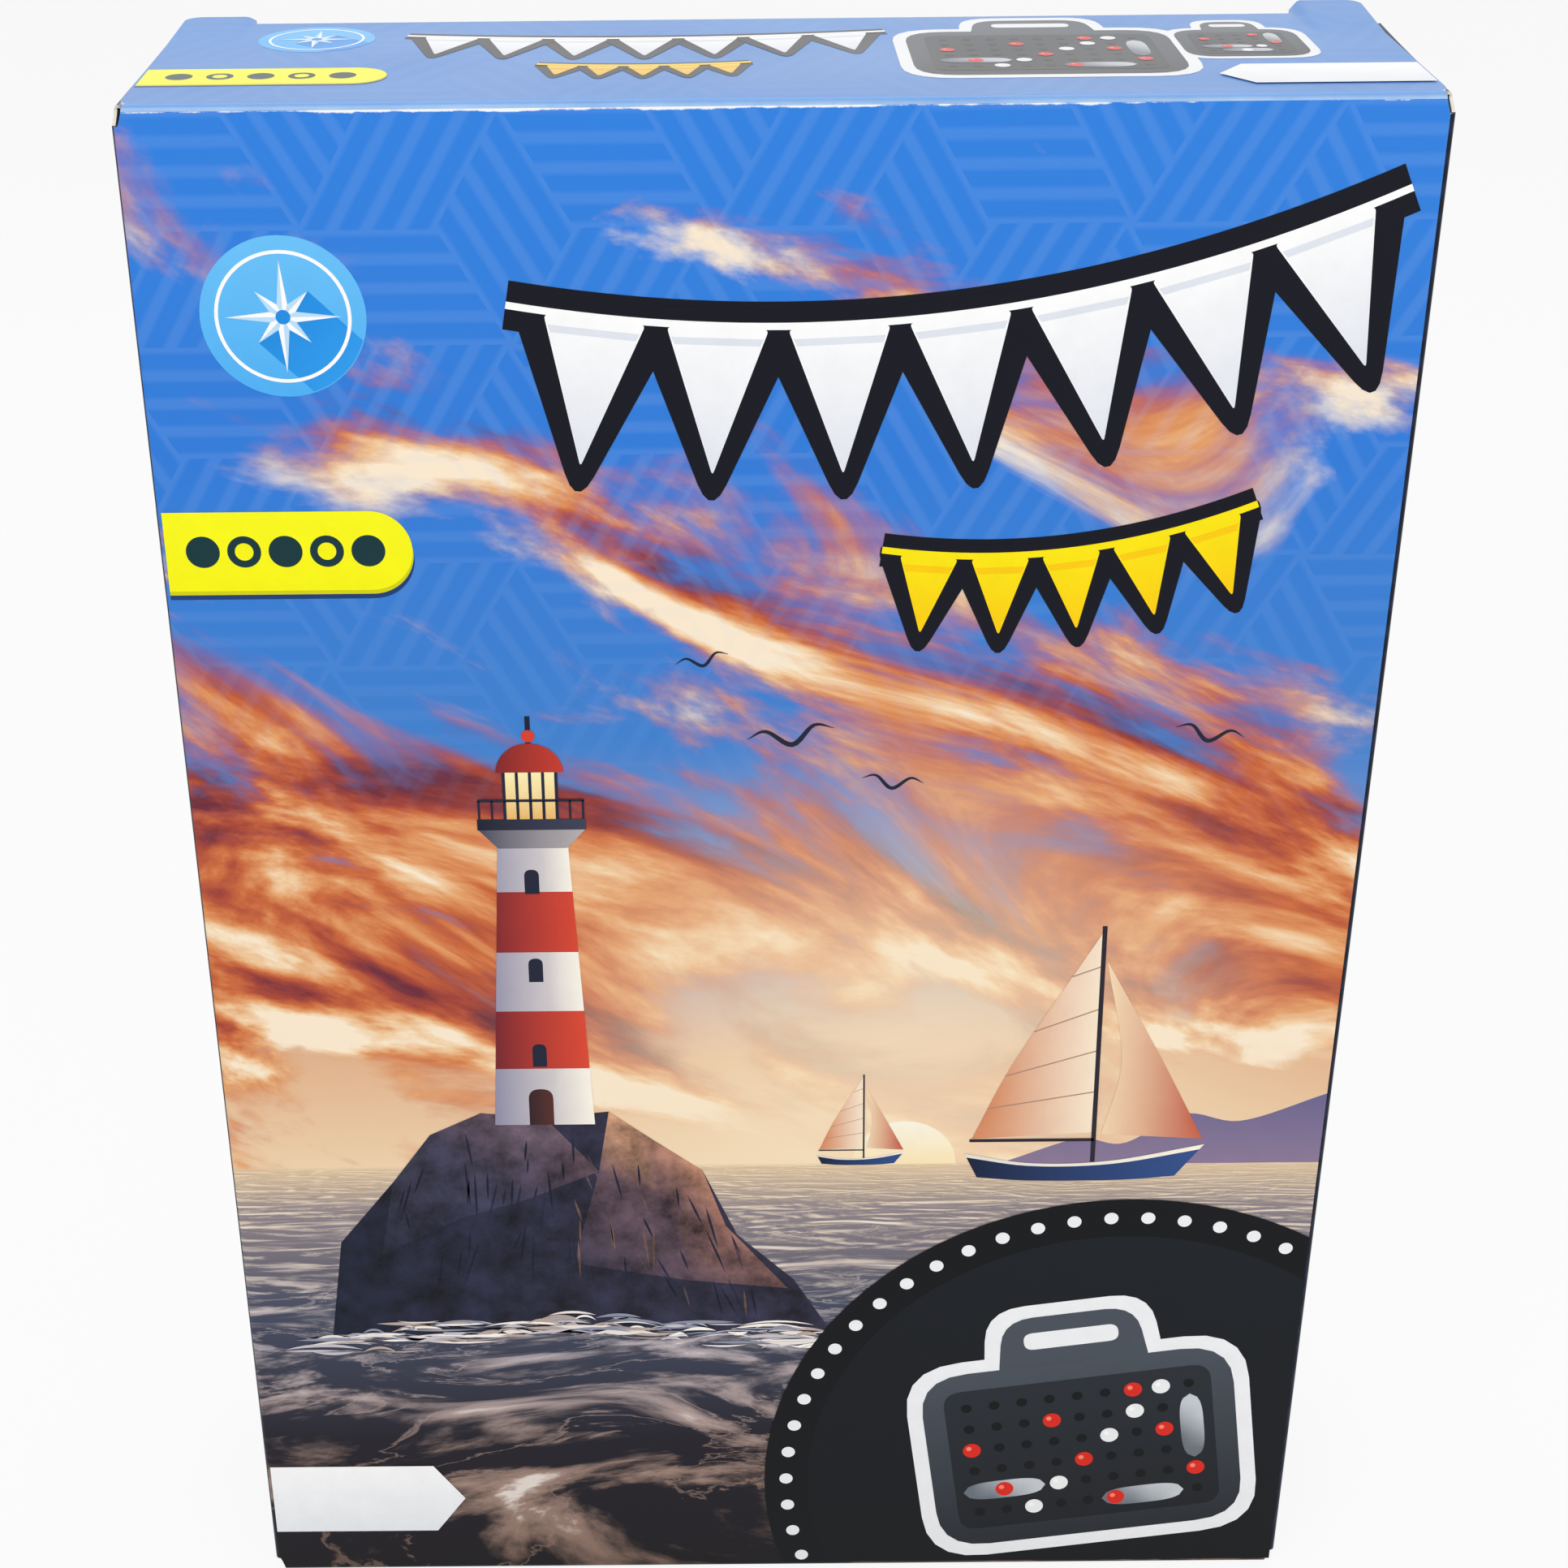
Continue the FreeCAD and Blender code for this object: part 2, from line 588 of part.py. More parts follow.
def make_ship(case, label, holes, column, row, along_rows):
    """Make a ship: a pointed hull with deck houses, peg holes on deck and two pins below."""
    body = new_body(f"{case.name}_{label}")
    last = f"({holes - 1} * hole_pitch)"
    end = "(hole_pitch / 2 - ship_gap)"
    hull = sketch_on(body, "XY_Plane")
    draw_polygon(hull, [
        (f"-{end}", "-ship_beam / 3"), ("0", "-ship_beam / 2"), (last, "-ship_beam / 2"),
        (f"{last} + {end}", "0"), (last, "ship_beam / 2"), ("0", "ship_beam / 2"),
        (f"-{end}", "ship_beam / 3"),
    ])
    pad(hull, "ship_hull")
    for gap in range(1, holes - 1) if holes > 2 else (0,):
        house = sketch_on(body, "XY_Plane", "ship_hull")
        near = f"({gap + 0.5} * hole_pitch - house_length / 2)"
        draw_polygon(house, rectangle(near, f"{near} + house_length", "-house_width / 2", "house_width / 2"))
        pad(house, "ship_house")
    for place in ("0", last):
        pin = sketch_on(body, "XY_Plane")
        draw_circle(pin, (place, "0"), "peg_radius")
        pad(pin, "ship_pin", downward=True)
    deck_hole = sketch_on(body, "XY_Plane", "ship_hull")
    draw_circle(deck_hole, ("0", "0"), "hole_radius")
    repeat([pocket(deck_hole, "deck_hole_depth")], holes, "hole_pitch")
    case.place(body, *grid_place(column, row), OCEAN_FACE, quarter_turns=1 if along_rows else 0)


def peg_shape():
    """Return a peg with its head's underside at the origin and its shaft along +Z."""
    head_length, head_radius = value("peg_head"), value("peg_head_radius")
    head = Part.makeCylinder(head_radius, head_length, FreeCAD.Vector(0, 0, -head_length))
    rim = [edge for edge in head.Edges if abs(edge.CenterOfMass.z + head_length) < 0.01]
    head = head.makeFillet(value("peg_head_round"), rim)
    return head.fuse(Part.makeCylinder(value("peg_radius"), value("peg_shaft")))


def make_pegs(case, label, shots, bin_side):
    """Make all pegs of one colour: some in the target board, the rest lying in a bin."""
    peg = peg_shape()
    copies = []
    for column, row in shots:
        along, across = grid_place(column, row)
        copies.append(peg.translated(FreeCAD.Vector(value(along), value(across), value(TARGET_FACE))))
    peg_length = value("peg_head + peg_shaft")
    bin_middle = bin_side * value(f"{BOARD_LENGTH} / 2 + bin_length / 2")
    floor = value("case_wall + peg_head_radius")
    for column in range(LOOSE_COLUMNS):
        step = peg_length + value("peg_column_gap")
        along = bin_middle + (column - (LOOSE_COLUMNS - 1) / 2) * step
        for row in range(LOOSE_ROWS):
            across = value(f"{CASE_BODY} / 2") + (row - (LOOSE_ROWS - 1) / 2) * value("peg_row_pitch")
            lying = peg.rotated(FreeCAD.Vector(), FreeCAD.Vector(0, 1, 0), 90 if row % 2 else -90)
            copies.append(lying.translated(FreeCAD.Vector(along, across, floor)))
    group = doc.addObject("Part::Feature", f"{case.name}_{label}")
    group.Shape = Part.makeCompound(copies)
    pieces.append(group)
    case.place(group)


def make_case(name, facing):
    """Make a case with everything in it."""
    case = Case(name, facing)
    make_base_shell(case)
    make_lid_shell(case)
    make_hinge_rod(case)
    make_latches(case)
    make_board(case, "ocean_board", "case_wall", OCEAN_RISE, opens_down=True)
    make_board(case, "target_board", TARGET_FACE, TARGET_RISE, opens_down=False)
    for label, ship in SHIPS.items():
        make_ship(case, label, *ship)
    make_pegs(case, "red_pegs", RED_SHOTS, 1)
    make_pegs(case, "white_pegs", WHITE_SHOTS, -1)


def check_pieces():
    """Stop if anything failed to compute or came out unsound."""
    for item in doc.Objects:
        if "Invalid" in item.State or "Error" in item.State:
            raise RuntimeError(f"{item.Label} failed to compute")
    for piece in pieces:
        if piece.Shape.isNull() or not piece.Shape.isValid() or not piece.Shape.Solids:
            raise RuntimeError(f"{piece.Label} has no sound shape")


make_walls()
make_closures()
make_leaflet()
make_case("front_case", 1)
make_case("rear_case", -1)
doc.recompute()
check_pieces()
os.makedirs("parts", exist_ok=True)
for piece in pieces:
    piece.Shape.exportStep(f"parts/{piece.Label}.step")
print(f"{len(pieces)} sub-parts written")
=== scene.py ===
"""Dress a printed tuck-end carton that holds two folding peg-board cases.

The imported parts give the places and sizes. This script adds the folded board with its rounded
creases and cut edges, the printed pictures, the moulded plastics and the studio around them.
Lengths are millimetres until a mesh is written, which is in metres.
"""

import json
import logging
import math
from abc import ABC, abstractmethod
from dataclasses import dataclass
from enum import Enum, IntEnum
from functools import cached_property
from typing import Any, Iterable, Protocol, Sequence

import bmesh
import bpy
import numpy as np
from mathutils import Matrix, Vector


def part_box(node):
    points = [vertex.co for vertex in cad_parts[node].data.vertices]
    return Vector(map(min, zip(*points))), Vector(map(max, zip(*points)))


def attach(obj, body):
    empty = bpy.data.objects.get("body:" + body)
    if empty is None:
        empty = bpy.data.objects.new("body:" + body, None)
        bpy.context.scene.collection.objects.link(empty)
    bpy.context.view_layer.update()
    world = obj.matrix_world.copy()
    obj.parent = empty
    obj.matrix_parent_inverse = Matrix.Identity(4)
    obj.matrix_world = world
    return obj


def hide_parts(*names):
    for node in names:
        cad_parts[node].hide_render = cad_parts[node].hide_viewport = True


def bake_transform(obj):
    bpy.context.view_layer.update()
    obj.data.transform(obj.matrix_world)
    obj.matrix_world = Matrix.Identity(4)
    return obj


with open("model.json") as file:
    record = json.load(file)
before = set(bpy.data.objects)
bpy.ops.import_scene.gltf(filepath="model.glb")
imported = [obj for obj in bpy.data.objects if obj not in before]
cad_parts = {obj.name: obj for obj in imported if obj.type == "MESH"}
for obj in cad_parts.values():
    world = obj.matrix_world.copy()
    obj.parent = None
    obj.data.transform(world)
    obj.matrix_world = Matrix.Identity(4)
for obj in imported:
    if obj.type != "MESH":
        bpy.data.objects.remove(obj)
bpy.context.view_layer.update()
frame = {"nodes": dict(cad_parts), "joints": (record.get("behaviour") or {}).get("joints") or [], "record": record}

MM = 0.001
TINY = 1e-9
MERGE_DISTANCE = 1e-7
SHARP_ANGLE = math.radians(35)
# Most values of a noise lie between these two.
NOISE_SPAN = (0.3, 0.7)
# Name of the colours that a printed piece carries on its points.
INK_LAYER = "ink"
LOG = logging.getLogger("carton")

Points = np.ndarray
Pair = tuple[float, float]
Triple = tuple[float, float, float]
Stops = Sequence[tuple[float, str]]


def linear(code: str) -> tuple[float, float, float, float]:
    """Turn an sRGB hex colour into linear light.

    Args:
        code: Colour written as "#RRGGBB".

    Returns:
        Red, green, blue and an opaque alpha.
    """
    shade = np.array([int(code[i:i + 2], 16) for i in (1, 3, 5)]) / 255.0
    light = np.where(shade <= 0.04045, shade / 12.92, ((shade + 0.055) / 1.055) ** 2.4)
    return (*(float(part) for part in light), 1.0)


class Bench:
    """Nodes of a material, or of the world, while they are put together."""

    def __init__(self, owner: bpy.types.Material | bpy.types.World) -> None:
        """Start with no nodes.

        Args:
            owner: The material or world.
        """
        owner.use_nodes = True
        self.owner = owner
        self.tree = owner.node_tree
        self.tree.nodes.clear()

    def add(self, kind: str, inputs: dict | None = None, out: int | str = 0,
            stops: Stops = (), **settings: Any) -> Any:
        """Add one node with its settings and links.

        Args:
            kind: Node type, without Blender's prefix.
            inputs: Socket name or number, with the socket or the value that feeds it.
            out: Output to hand back.
            stops: Places and hex colours of a colour ramp.
            **settings: Properties of the node.

        Returns:
            The chosen output socket, or None for a node without outputs.
        """
        node = self.tree.nodes.new("ShaderNode" + kind)
        for key, setting in settings.items():
            setattr(node, key, setting)
        if stops:
            ramp = node.color_ramp.elements
            ramp[0].position, ramp[0].color = stops[0][0], linear(stops[0][1])
            ramp[-1].position, ramp[-1].color = stops[-1][0], linear(stops[-1][1])
            for place, code in stops[1:-1]:
                ramp.new(place).color = linear(code)
        for key, value in (inputs or {}).items():
            if isinstance(value, bpy.types.NodeSocket):
                self.tree.links.new(value, node.inputs[key])
            else:
                node.inputs[key].default_value = value
        return node.outputs[out] if len(node.outputs) else None

    def math(self, operation: str, first: Any, second: Any = 0.0) -> Any:
        """One sum of one or two values."""
        return self.add("Math", {0: first, 1: second}, operation=operation)

    def part(self, axis: str, vector: Any = None) -> Any:
        """One part of a vector, or of the place on the piece."""
        return self.add("SeparateXYZ", {0: self.here if vector is None else vector}, out=axis)

    def ramp(self, value: Any, stops: Stops) -> Any:
        """Colour of a value on a ramp of hex colours."""
        return self.add("ValToRGB", {0: value}, stops=stops)

    def tones(self, noise: Any, dark: str, pale: str) -> Any:
        """Colour of a noise between two hex colours."""
        return self.ramp(noise, tuple(zip(NOISE_SPAN, (dark, pale))))

    def mix(self, share: Any, first: Any, second: Any) -> Any:
        """Blend from one colour to another, each a socket or a hex colour."""
        ends = [linear(end) if isinstance(end, str) else end for end in (first, second)]
        return self.add("Mix", {0: share, 6: ends[0], 7: ends[1]}, out=2, data_type="RGBA")

    def spread(self, value: Any, span: Pair, to: Pair = (0.0, 1.0), smooth: bool = False) -> Any:
        """Carry a value from one span to another, stopping at its ends."""
        return self.add("MapRange", {0: value, 1: span[0], 2: span[1], 3: to[0], 4: to[1]},
                        interpolation_type="SMOOTHSTEP" if smooth else "LINEAR")

    def noise(self, size: float, detail: float, roughness: float = 0.5, distortion: float = 0.0,
              place: Any = None) -> Any:
        """Noise with features of a size on the piece, or in the units of another place."""
        return self.add("TexNoise", {"Vector": self.here if place is None else place, "Scale": 1 / size,
                                     "Detail": detail, "Roughness": roughness, "Distortion": distortion})

    def lit_noise(self, place: Any, sunward: Triple, *brush: float) -> tuple[Any, Any]:
        """Noise, and how it slopes towards the light.

        Args:
            place: Where the noise is read.
            sunward: A step towards the light.
            *brush: Detail, roughness and distortion of the noise.

        Returns:
            The noise, and its fall over one step towards the light.
        """
        here = self.noise(1.0, *brush, place=place)
        ahead = self.add("VectorMath", {0: place, 1: sunward}, operation="ADD")
        return here, self.math("SUBTRACT", here, self.noise(1.0, *brush, place=ahead))

    @cached_property
    def here(self) -> Any:
        """Place on the piece in millimetres."""
        return self.place()

    def place(self, size: Triple = (1.0, 1.0, 1.0)) -> Any:
        """Place on the piece, counted in steps of a size in millimetres."""
        scale = tuple(1 / (MM * part) for part in size)
        return self.add("Mapping", {"Vector": self.add("TexCoord", out="Object"), "Scale": scale})

    def seen(self) -> Any:
        """One for what the eye sees, also in gloss or through glass, and nothing for what only lights."""
        rays = [self.add("LightPath", out=f"Is {kind} Ray") for kind in ("Camera", "Glossy", "Transmission")]
        return self.math("MAXIMUM", self.math("MAXIMUM", *rays[:2]), rays[2])

    def close(self, shader: Any) -> bpy.types.Material:
        """End the material with its shader."""
        self.add("OutputMaterial", {"Surface": shader})
        return self.owner


class Picture(Protocol):
    """What is printed on a stretch of board, before the separate motifs."""

    def colour(self, bench: Bench) -> Any:
        """Printed colour at each place on the piece, made with the material's nodes."""


@dataclass(frozen=True)
class Stripes:
    """Faint striped hexagons: a traditional tumbling-block layout."""

    axes: tuple[str, str] = ("X", "Z")
    side: float = 20.0
    per_side: int = 4
    ink: float = 0.08
    tone: str = "#A9CBF8"
    edge: Pair = (0.22, 0.38)

    def mask(self, bench: Bench) -> Any:
        """Find the pattern's lines.

        The plane is cut into hexagons by taking the nearer of two shifted rectangular lattices.
        Each hexagon is three rhombs around its middle, a third of a turn apart, and a point's
        distance from its rhomb's first edge decides whether it lies on a thin line.

        Args:
            bench: The material's nodes.

        Returns:
            One on a line, nothing between lines.
        """
        tall = self.side * math.sqrt(3) / 2
        half = (1.5 * self.side, tall, 1.0)
        minus = tuple(-part for part in half)
        right, up = (bench.part(axis) for axis in self.axes)
        flat = bench.add("CombineXYZ", {0: right, 1: up})
        near = bench.add("VectorMath", {0: flat, 1: half, 2: minus}, operation="WRAP")
        shifted = bench.add("VectorMath", {0: flat, 1: half}, operation="ADD")
        far = bench.add("VectorMath", {0: shifted, 1: half, 2: minus}, operation="WRAP")
        reaches = [
            bench.add("VectorMath", {0: spot}, out="Value", operation="LENGTH") for spot in (near, far)]
        closer = bench.math("LESS_THAN", *reaches)
        local = bench.add("Mix", {0: closer, 4: far, 5: near}, out=1, data_type="VECTOR")
        right, up = bench.part("X", local), bench.part("Y", local)
        third = 2 * math.pi / 3
        sector = bench.math("FLOOR", bench.math("DIVIDE", bench.math("ARCTAN2", up, right), third))
        angle = bench.math("MULTIPLY", sector, third)
        lift = bench.math("MULTIPLY", up, bench.math("COSINE", angle))
        drop = bench.math("MULTIPLY", right, bench.math("SINE", angle))
        count = bench.math("DIVIDE", bench.math("SUBTRACT", lift, drop), tall / self.per_side)
        middle = bench.math("SUBTRACT", bench.math("FRACT", count), 0.5)
        return bench.spread(bench.math("ABSOLUTE", middle), self.edge)

    def over(self, bench: Bench, colour: Any, ink: Any) -> Any:
        """Lay the lines over a colour, with a share of ink."""
        return bench.mix(bench.math("MULTIPLY", self.mask(bench), ink), colour, self.tone)


@dataclass(frozen=True)
class Water:
    """Dark swell under a low sun, in perspective up to the horizon."""

    horizon: float
    vanishing: float = 11.0
    eye_level: float = 40.0
    wave_width: float = 34.0
    wave_rows: float = 7.0
    sunward: Triple = (0.05, 0.22, 0.0)
    brush: Triple = (11.0, 0.6, 1.2)
    slope: Pair = (-0.03, 0.16)
    ridge_level: float = 0.52
    ridge_width: float = 0.012
    ridge_light: float = 0.55
    foam: Pair = (0.15, 0.22)
    foam_cover: float = 0.8
    foam_tone: str = "#F1E8E0"
    deep_tones: Stops = (
        (0.0, "#120E14"), (0.35, "#1E1B26"), (0.68, "#454B60"), (0.9, "#8C8288"), (1.0, "#D9BE9C"))
    lit_tones: Stops = (
        (0.0, "#8A6F62"), (0.3, "#A98E82"), (0.6, "#B7AEB4"), (0.85, "#DCCBBB"), (1.0, "#F3DDBB"))

    def colour(self, bench: Bench) -> Any:
        """Paint a plane seen from above, so that its waves shrink towards the horizon.

        A point's distance is the inverse of its depth below the vanishing line. Waves are noise on
        that plane. Its slope towards the sun lights them, and thin ridges follow one of its levels.

        Args:
            bench: The material's nodes.

        Returns:
            The water's colour.
        """
        height = bench.part("Z")
        below = bench.math("SUBTRACT", self.horizon + self.vanishing, height)
        far = bench.math("DIVIDE", self.eye_level, below)
        side = bench.math("MULTIPLY", bench.part("X"), far)
        plane = bench.add("CombineXYZ", {
            0: bench.math("DIVIDE", side, self.wave_width),
            1: bench.math("MULTIPLY", far, self.wave_rows)})
        swell, facing = bench.lit_noise(plane, self.sunward, *self.brush)
        depth = bench.spread(height, (0.0, self.horizon))
        lit = bench.ramp(depth, self.lit_tones)
        share = bench.spread(facing, self.slope, smooth=True)
        water = bench.mix(share, bench.ramp(depth, self.deep_tones), lit)
        ridge = bench.math("ABSOLUTE", bench.math("SUBTRACT", swell, self.ridge_level))
        crest = bench.spread(ridge, (self.ridge_width, 0.0), (0.0, self.ridge_light))
        foam = bench.spread(facing, self.foam, (0.0, self.foam_cover))
        return bench.mix(foam, bench.mix(crest, water, lit), self.foam_tone)


@dataclass(frozen=True)
class WhiteFoldLine:
    """Ragged white line along a fold, its width set by noise and fading away from its middle."""

    level: float = 276.9
    middle: float = -20.0
    grain: float = 7.0
    reach: Pair = (25.0, 90.0)
    drift: Pair = (0.1, -0.16)
    width_span: Pair = (0.36, 0.7)
    width: Pair = (-0.1, 0.42)
    blur: Pair = (-0.06, 0.12)
    tone: str = "#F6F8FA"

    def over(self, bench: Bench, colour: Any) -> Any:
        """Lay the line over a print: noise decides its width, which fades away from its middle.

        Args:
            bench: The material's nodes.
            colour: The print.

        Returns:
            The print with the line.
        """
        ragged = bench.noise(self.grain, detail=9.0, roughness=0.7)
        apart = bench.math("ABSOLUTE", bench.math("ADD", bench.part("X"), -self.middle))
        drift = bench.spread(apart, self.reach, self.drift)
        width = bench.spread(bench.math("ADD", ragged, drift), self.width_span, self.width)
        away = bench.math("ABSOLUTE", bench.math("SUBTRACT", bench.part("Z"), self.level))
        line_share = bench.spread(bench.math("SUBTRACT", width, away), self.blur)
        return bench.mix(line_share, colour, self.tone)


@dataclass(frozen=True)
class Seascape:
    """Evening sky over water, with the stripes faint in the upper sky and a white line along the fold above."""

    horizon: float = 94.0
    haze: float = 0.4
    top: float = 278.0
    wind: float = 24.0
    cloud_size: Triple = (84.0, 84.0, 30.0)
    brush: Triple = (10.0, 0.56, 0.7)
    sunward: Triple = (0.1, 0.0, -0.2)
    cover: float = 0.42
    veil: Pair = (0.585, 0.7)
    slope: Pair = (-0.11, 0.13)
    sun: Triple = (22.0, -29.0, 104.0)
    sun_reach: Pair = (4.0, 82.0)
    sun_glow: float = 0.75
    sun_tone: str = "#FBE6C4"
    stripe_rise: Pair = (150.0, 225.0)
    stripes: Stripes = Stripes()
    sky_tones: Stops = (
        (0.0, "#F0D3AE"), (0.12, "#E3B58E"), (0.27, "#8A9CC4"), (0.45, "#3F80CE"), (0.7, "#2F7BD8"),
        (1.0, "#3081E0"))
    cover_tones: Stops = (
        (0.0, "#7C7C7C"), (0.2, "#AEAEAE"), (0.42, "#A0A0A0"), (0.58, "#7A7A7A"), (0.75, "#5A5A5A"),
        (1.0, "#484848"))
    cloud_tones: Stops = (
        (0.0, "#6E2A38"), (0.25, "#A84636"), (0.46, "#CC6A3C"), (0.66, "#E39C64"), (0.86, "#F3CFA4"),
        (1.0, "#FBE9CF"))

    def colour(self, bench: Bench) -> Any:
        """Paint the sky above the horizon, the water below it, and the white fold line over both.

        Args:
            bench: The material's nodes.

        Returns:
            The printed colour.
        """
        height = bench.part("Z")
        above = bench.spread(height, (self.horizon - self.haze, self.horizon + self.haze))
        water = Water(self.horizon).colour(bench)
        return WhiteFoldLine().over(bench, bench.mix(above, water, self._sky(bench, height)))

    def _sky(self, bench: Bench, height: Any) -> Any:
        """Paint a ramp of height, wind-drawn clouds, the sun's glow and the stripes.

        Clouds are noise drawn out along the wind. They show where the noise and a cover that
        depends on height pass a limit, and the noise's slope towards the sun lights them.

        Args:
            bench: The material's nodes.
            height: Level on the carton.

        Returns:
            The sky's colour.
        """
        rise = bench.spread(height, (self.horizon, self.top))
        drawn = bench.add("Mapping", {
            "Vector": bench.here, "Rotation": (0.0, math.radians(self.wind), 0.0), "Scale": self.cloud_size,
        }, vector_type="TEXTURE")
        cloud, facing = bench.lit_noise(drawn, self.sunward, *self.brush)
        cover = bench.math("MULTIPLY", bench.ramp(rise, self.cover_tones), self.cover)
        veil = bench.spread(bench.math("ADD", cloud, cover), self.veil, smooth=True)
        glow = bench.ramp(bench.spread(facing, self.slope), self.cloud_tones)
        sky = bench.mix(veil, bench.ramp(rise, self.sky_tones), glow)
        reach = bench.add("VectorMath", {0: bench.here, 1: self.sun}, out="Value", operation="DISTANCE")
        warm = bench.spread(reach, self.sun_reach, (self.sun_glow, 0.0), smooth=True)
        ink = bench.spread(height, self.stripe_rise, (0.0, self.stripes.ink))
        return self.stripes.over(bench, bench.mix(warm, sky, self.sun_tone), ink)


@dataclass(frozen=True)
class PlainPrint:
    """One colour of print, a little mottled, with the pattern's lines a shade lighter."""

    dark: str
    pale: str
    stripes: Stripes
    mottle_size: float = 30.0

    def colour(self, bench: Bench) -> Any:
        """Mottled print under the stripes."""
        base = bench.tones(bench.noise(self.mottle_size, detail=3.0), self.dark, self.pale)
        return self.stripes.over(bench, base, self.stripes.ink)


@dataclass(frozen=True)
class CreaseHighlightPrint:
    """Print over the lid's fold with a painted highlight: it pales towards the fold's lower edge."""

    top: float = 278.0
    fade: Pair = (0.1, 0.9)
    share: Pair = (0.05, 0.75)
    streak_size: float = 11.0
    streak: Pair = (0.5, 1.0)
    tone: str = "#5690D6"
    # The pale tone is the painted highlight on the crease.
    pale: str = "#C4DFF6"

    def colour(self, bench: Bench) -> Any:
        """Blend towards the pale tone of the painted highlight with the depth below the top, streaked by noise.

        Args:
            bench: The material's nodes.

        Returns:
            The printed colour.
        """
        span = (self.top - self.fade[0], self.top - self.fade[1])
        fade = bench.spread(bench.part("Z"), span, self.share)
        ragged = bench.noise(self.streak_size, detail=7.0, roughness=0.6)
        share = bench.math("MULTIPLY", fade, bench.spread(ragged, NOISE_SPAN, self.streak))
        return bench.mix(share, self.tone, self.pale)


@dataclass(frozen=True)
class LaidInk:
    """Colours that the piece itself carries, a little uneven as laid ink is."""

    size: float = 5.0
    value: Pair = (0.95, 1.0)

    def colour(self, bench: Bench) -> Any:
        """Make each printed colour lighter and darker by a noise.

        Args:
            bench: The material's nodes.

        Returns:
            The uneven colour.
        """
        laid = bench.add("Attribute", out="Color", attribute_name=INK_LAYER, attribute_type="GEOMETRY")
        value = bench.spread(bench.noise(self.size, detail=6.0, roughness=0.65), NOISE_SPAN, self.value)
        return bench.add("HueSaturation", {"Color": laid, "Value": value})


@dataclass(frozen=True)
class CoatedBoard:
    """Solid folding boxboard, offset printed and gloss varnished.

    To the eye it is a saturated print under a thin clear film: sharp soft-box reflections at a
    grazing angle, a faint orange-peel from the fibres below, and long shallow waves in each panel.
    """

    name: str
    picture: Picture
    specular: float = 0.13
    coat: float = 0.05
    coat_roughness: float = 0.12
    roughness: Pair = (0.28, 0.38)
    refraction: float = 1.5
    fibre_size: float = 0.35
    fibre_depth: float = 0.006
    wave_size: float = 42.0
    wave_depth: float = 0.35

    def material(self) -> bpy.types.Material:
        """Build the print, the varnish and the board's own unevenness.

        Returns:
            The finished material.
        """
        bench = Bench(bpy.data.materials.new(self.name))
        waves = bench.noise(self.wave_size, detail=1.0)
        bend = bench.add("Bump", {"Height": waves, "Strength": 0.5, "Distance": self.wave_depth * MM})
        grain = bench.add("Bump", {
            "Height": bench.noise(self.fibre_size, detail=3.0), "Strength": 0.25,
            "Distance": self.fibre_depth * MM, "Normal": bend})
        return bench.close(bench.add("BsdfPrincipled", {
            "Base Color": self.picture.colour(bench), "Normal": grain, "IOR": self.refraction,
            "Roughness": bench.spread(waves, NOISE_SPAN, self.roughness),
            "Specular IOR Level": self.specular, "Coat Weight": self.coat,
            "Coat Roughness": self.coat_roughness}))


@dataclass(frozen=True)
class RawBoard:
    """Uncoated side or cut edge of board, or plain paper.

    To the eye it is matt and felted: two close tones in small flecks under a fine raised nap.
    """

    name: str
    pale: str
    dark: str
    fleck_size: float = 0.6
    fleck_span: Pair = (0.32, 0.6)
    nap: float = 0.02
    roughness: float = 0.85

    def material(self) -> bpy.types.Material:
        """Build a soft two-tone felt with a fine raised nap.

        Returns:
            The finished material.
        """
        bench = Bench(bpy.data.materials.new(self.name))
        felt = bench.noise(self.fleck_size, detail=6.0, roughness=0.7)
        tones = tuple(zip(self.fleck_span, (self.dark, self.pale)))
        nap = bench.add("Bump", {"Height": felt, "Strength": 0.4, "Distance": self.nap * MM})
        return bench.close(bench.add("BsdfPrincipled", {
            "Base Color": bench.ramp(felt, tones), "Roughness": self.roughness, "Normal": nap}))


@dataclass(frozen=True)
class MouldedPlastic:
    """Injection-moulded polystyrene, spark-textured or polished by its mould.

    To the eye it is one even colour, faintly clouded, whose highlight is broad and broken where the
    mould was sparked and small and hard where it was polished.
    """

    name: str
    pale: str
    dark: str
    grain_size: float
    grain_depth: float
    roughness: float
    cloud_size: float = 18.0
    unevenness: float = 0.05
    refraction: float = 1.59

    def material(self) -> bpy.types.Material:
        """Build a lightly clouded colour with the mould's grain.

        Returns:
            The finished material.
        """
        bench = Bench(bpy.data.materials.new(self.name))
        cloud = bench.noise(self.cloud_size, detail=4.0)
        grain = bench.noise(self.grain_size, detail=4.0)
        relief = bench.add("Bump", {"Height": grain, "Strength": 0.5, "Distance": self.grain_depth * MM})
        rough = (self.roughness - self.unevenness, self.roughness + self.unevenness)
        return bench.close(bench.add("BsdfPrincipled", {
            "Base Color": bench.tones(cloud, self.dark, self.pale), "IOR": self.refraction, "Normal": relief,
            "Roughness": bench.spread(cloud, NOISE_SPAN, rough)}))


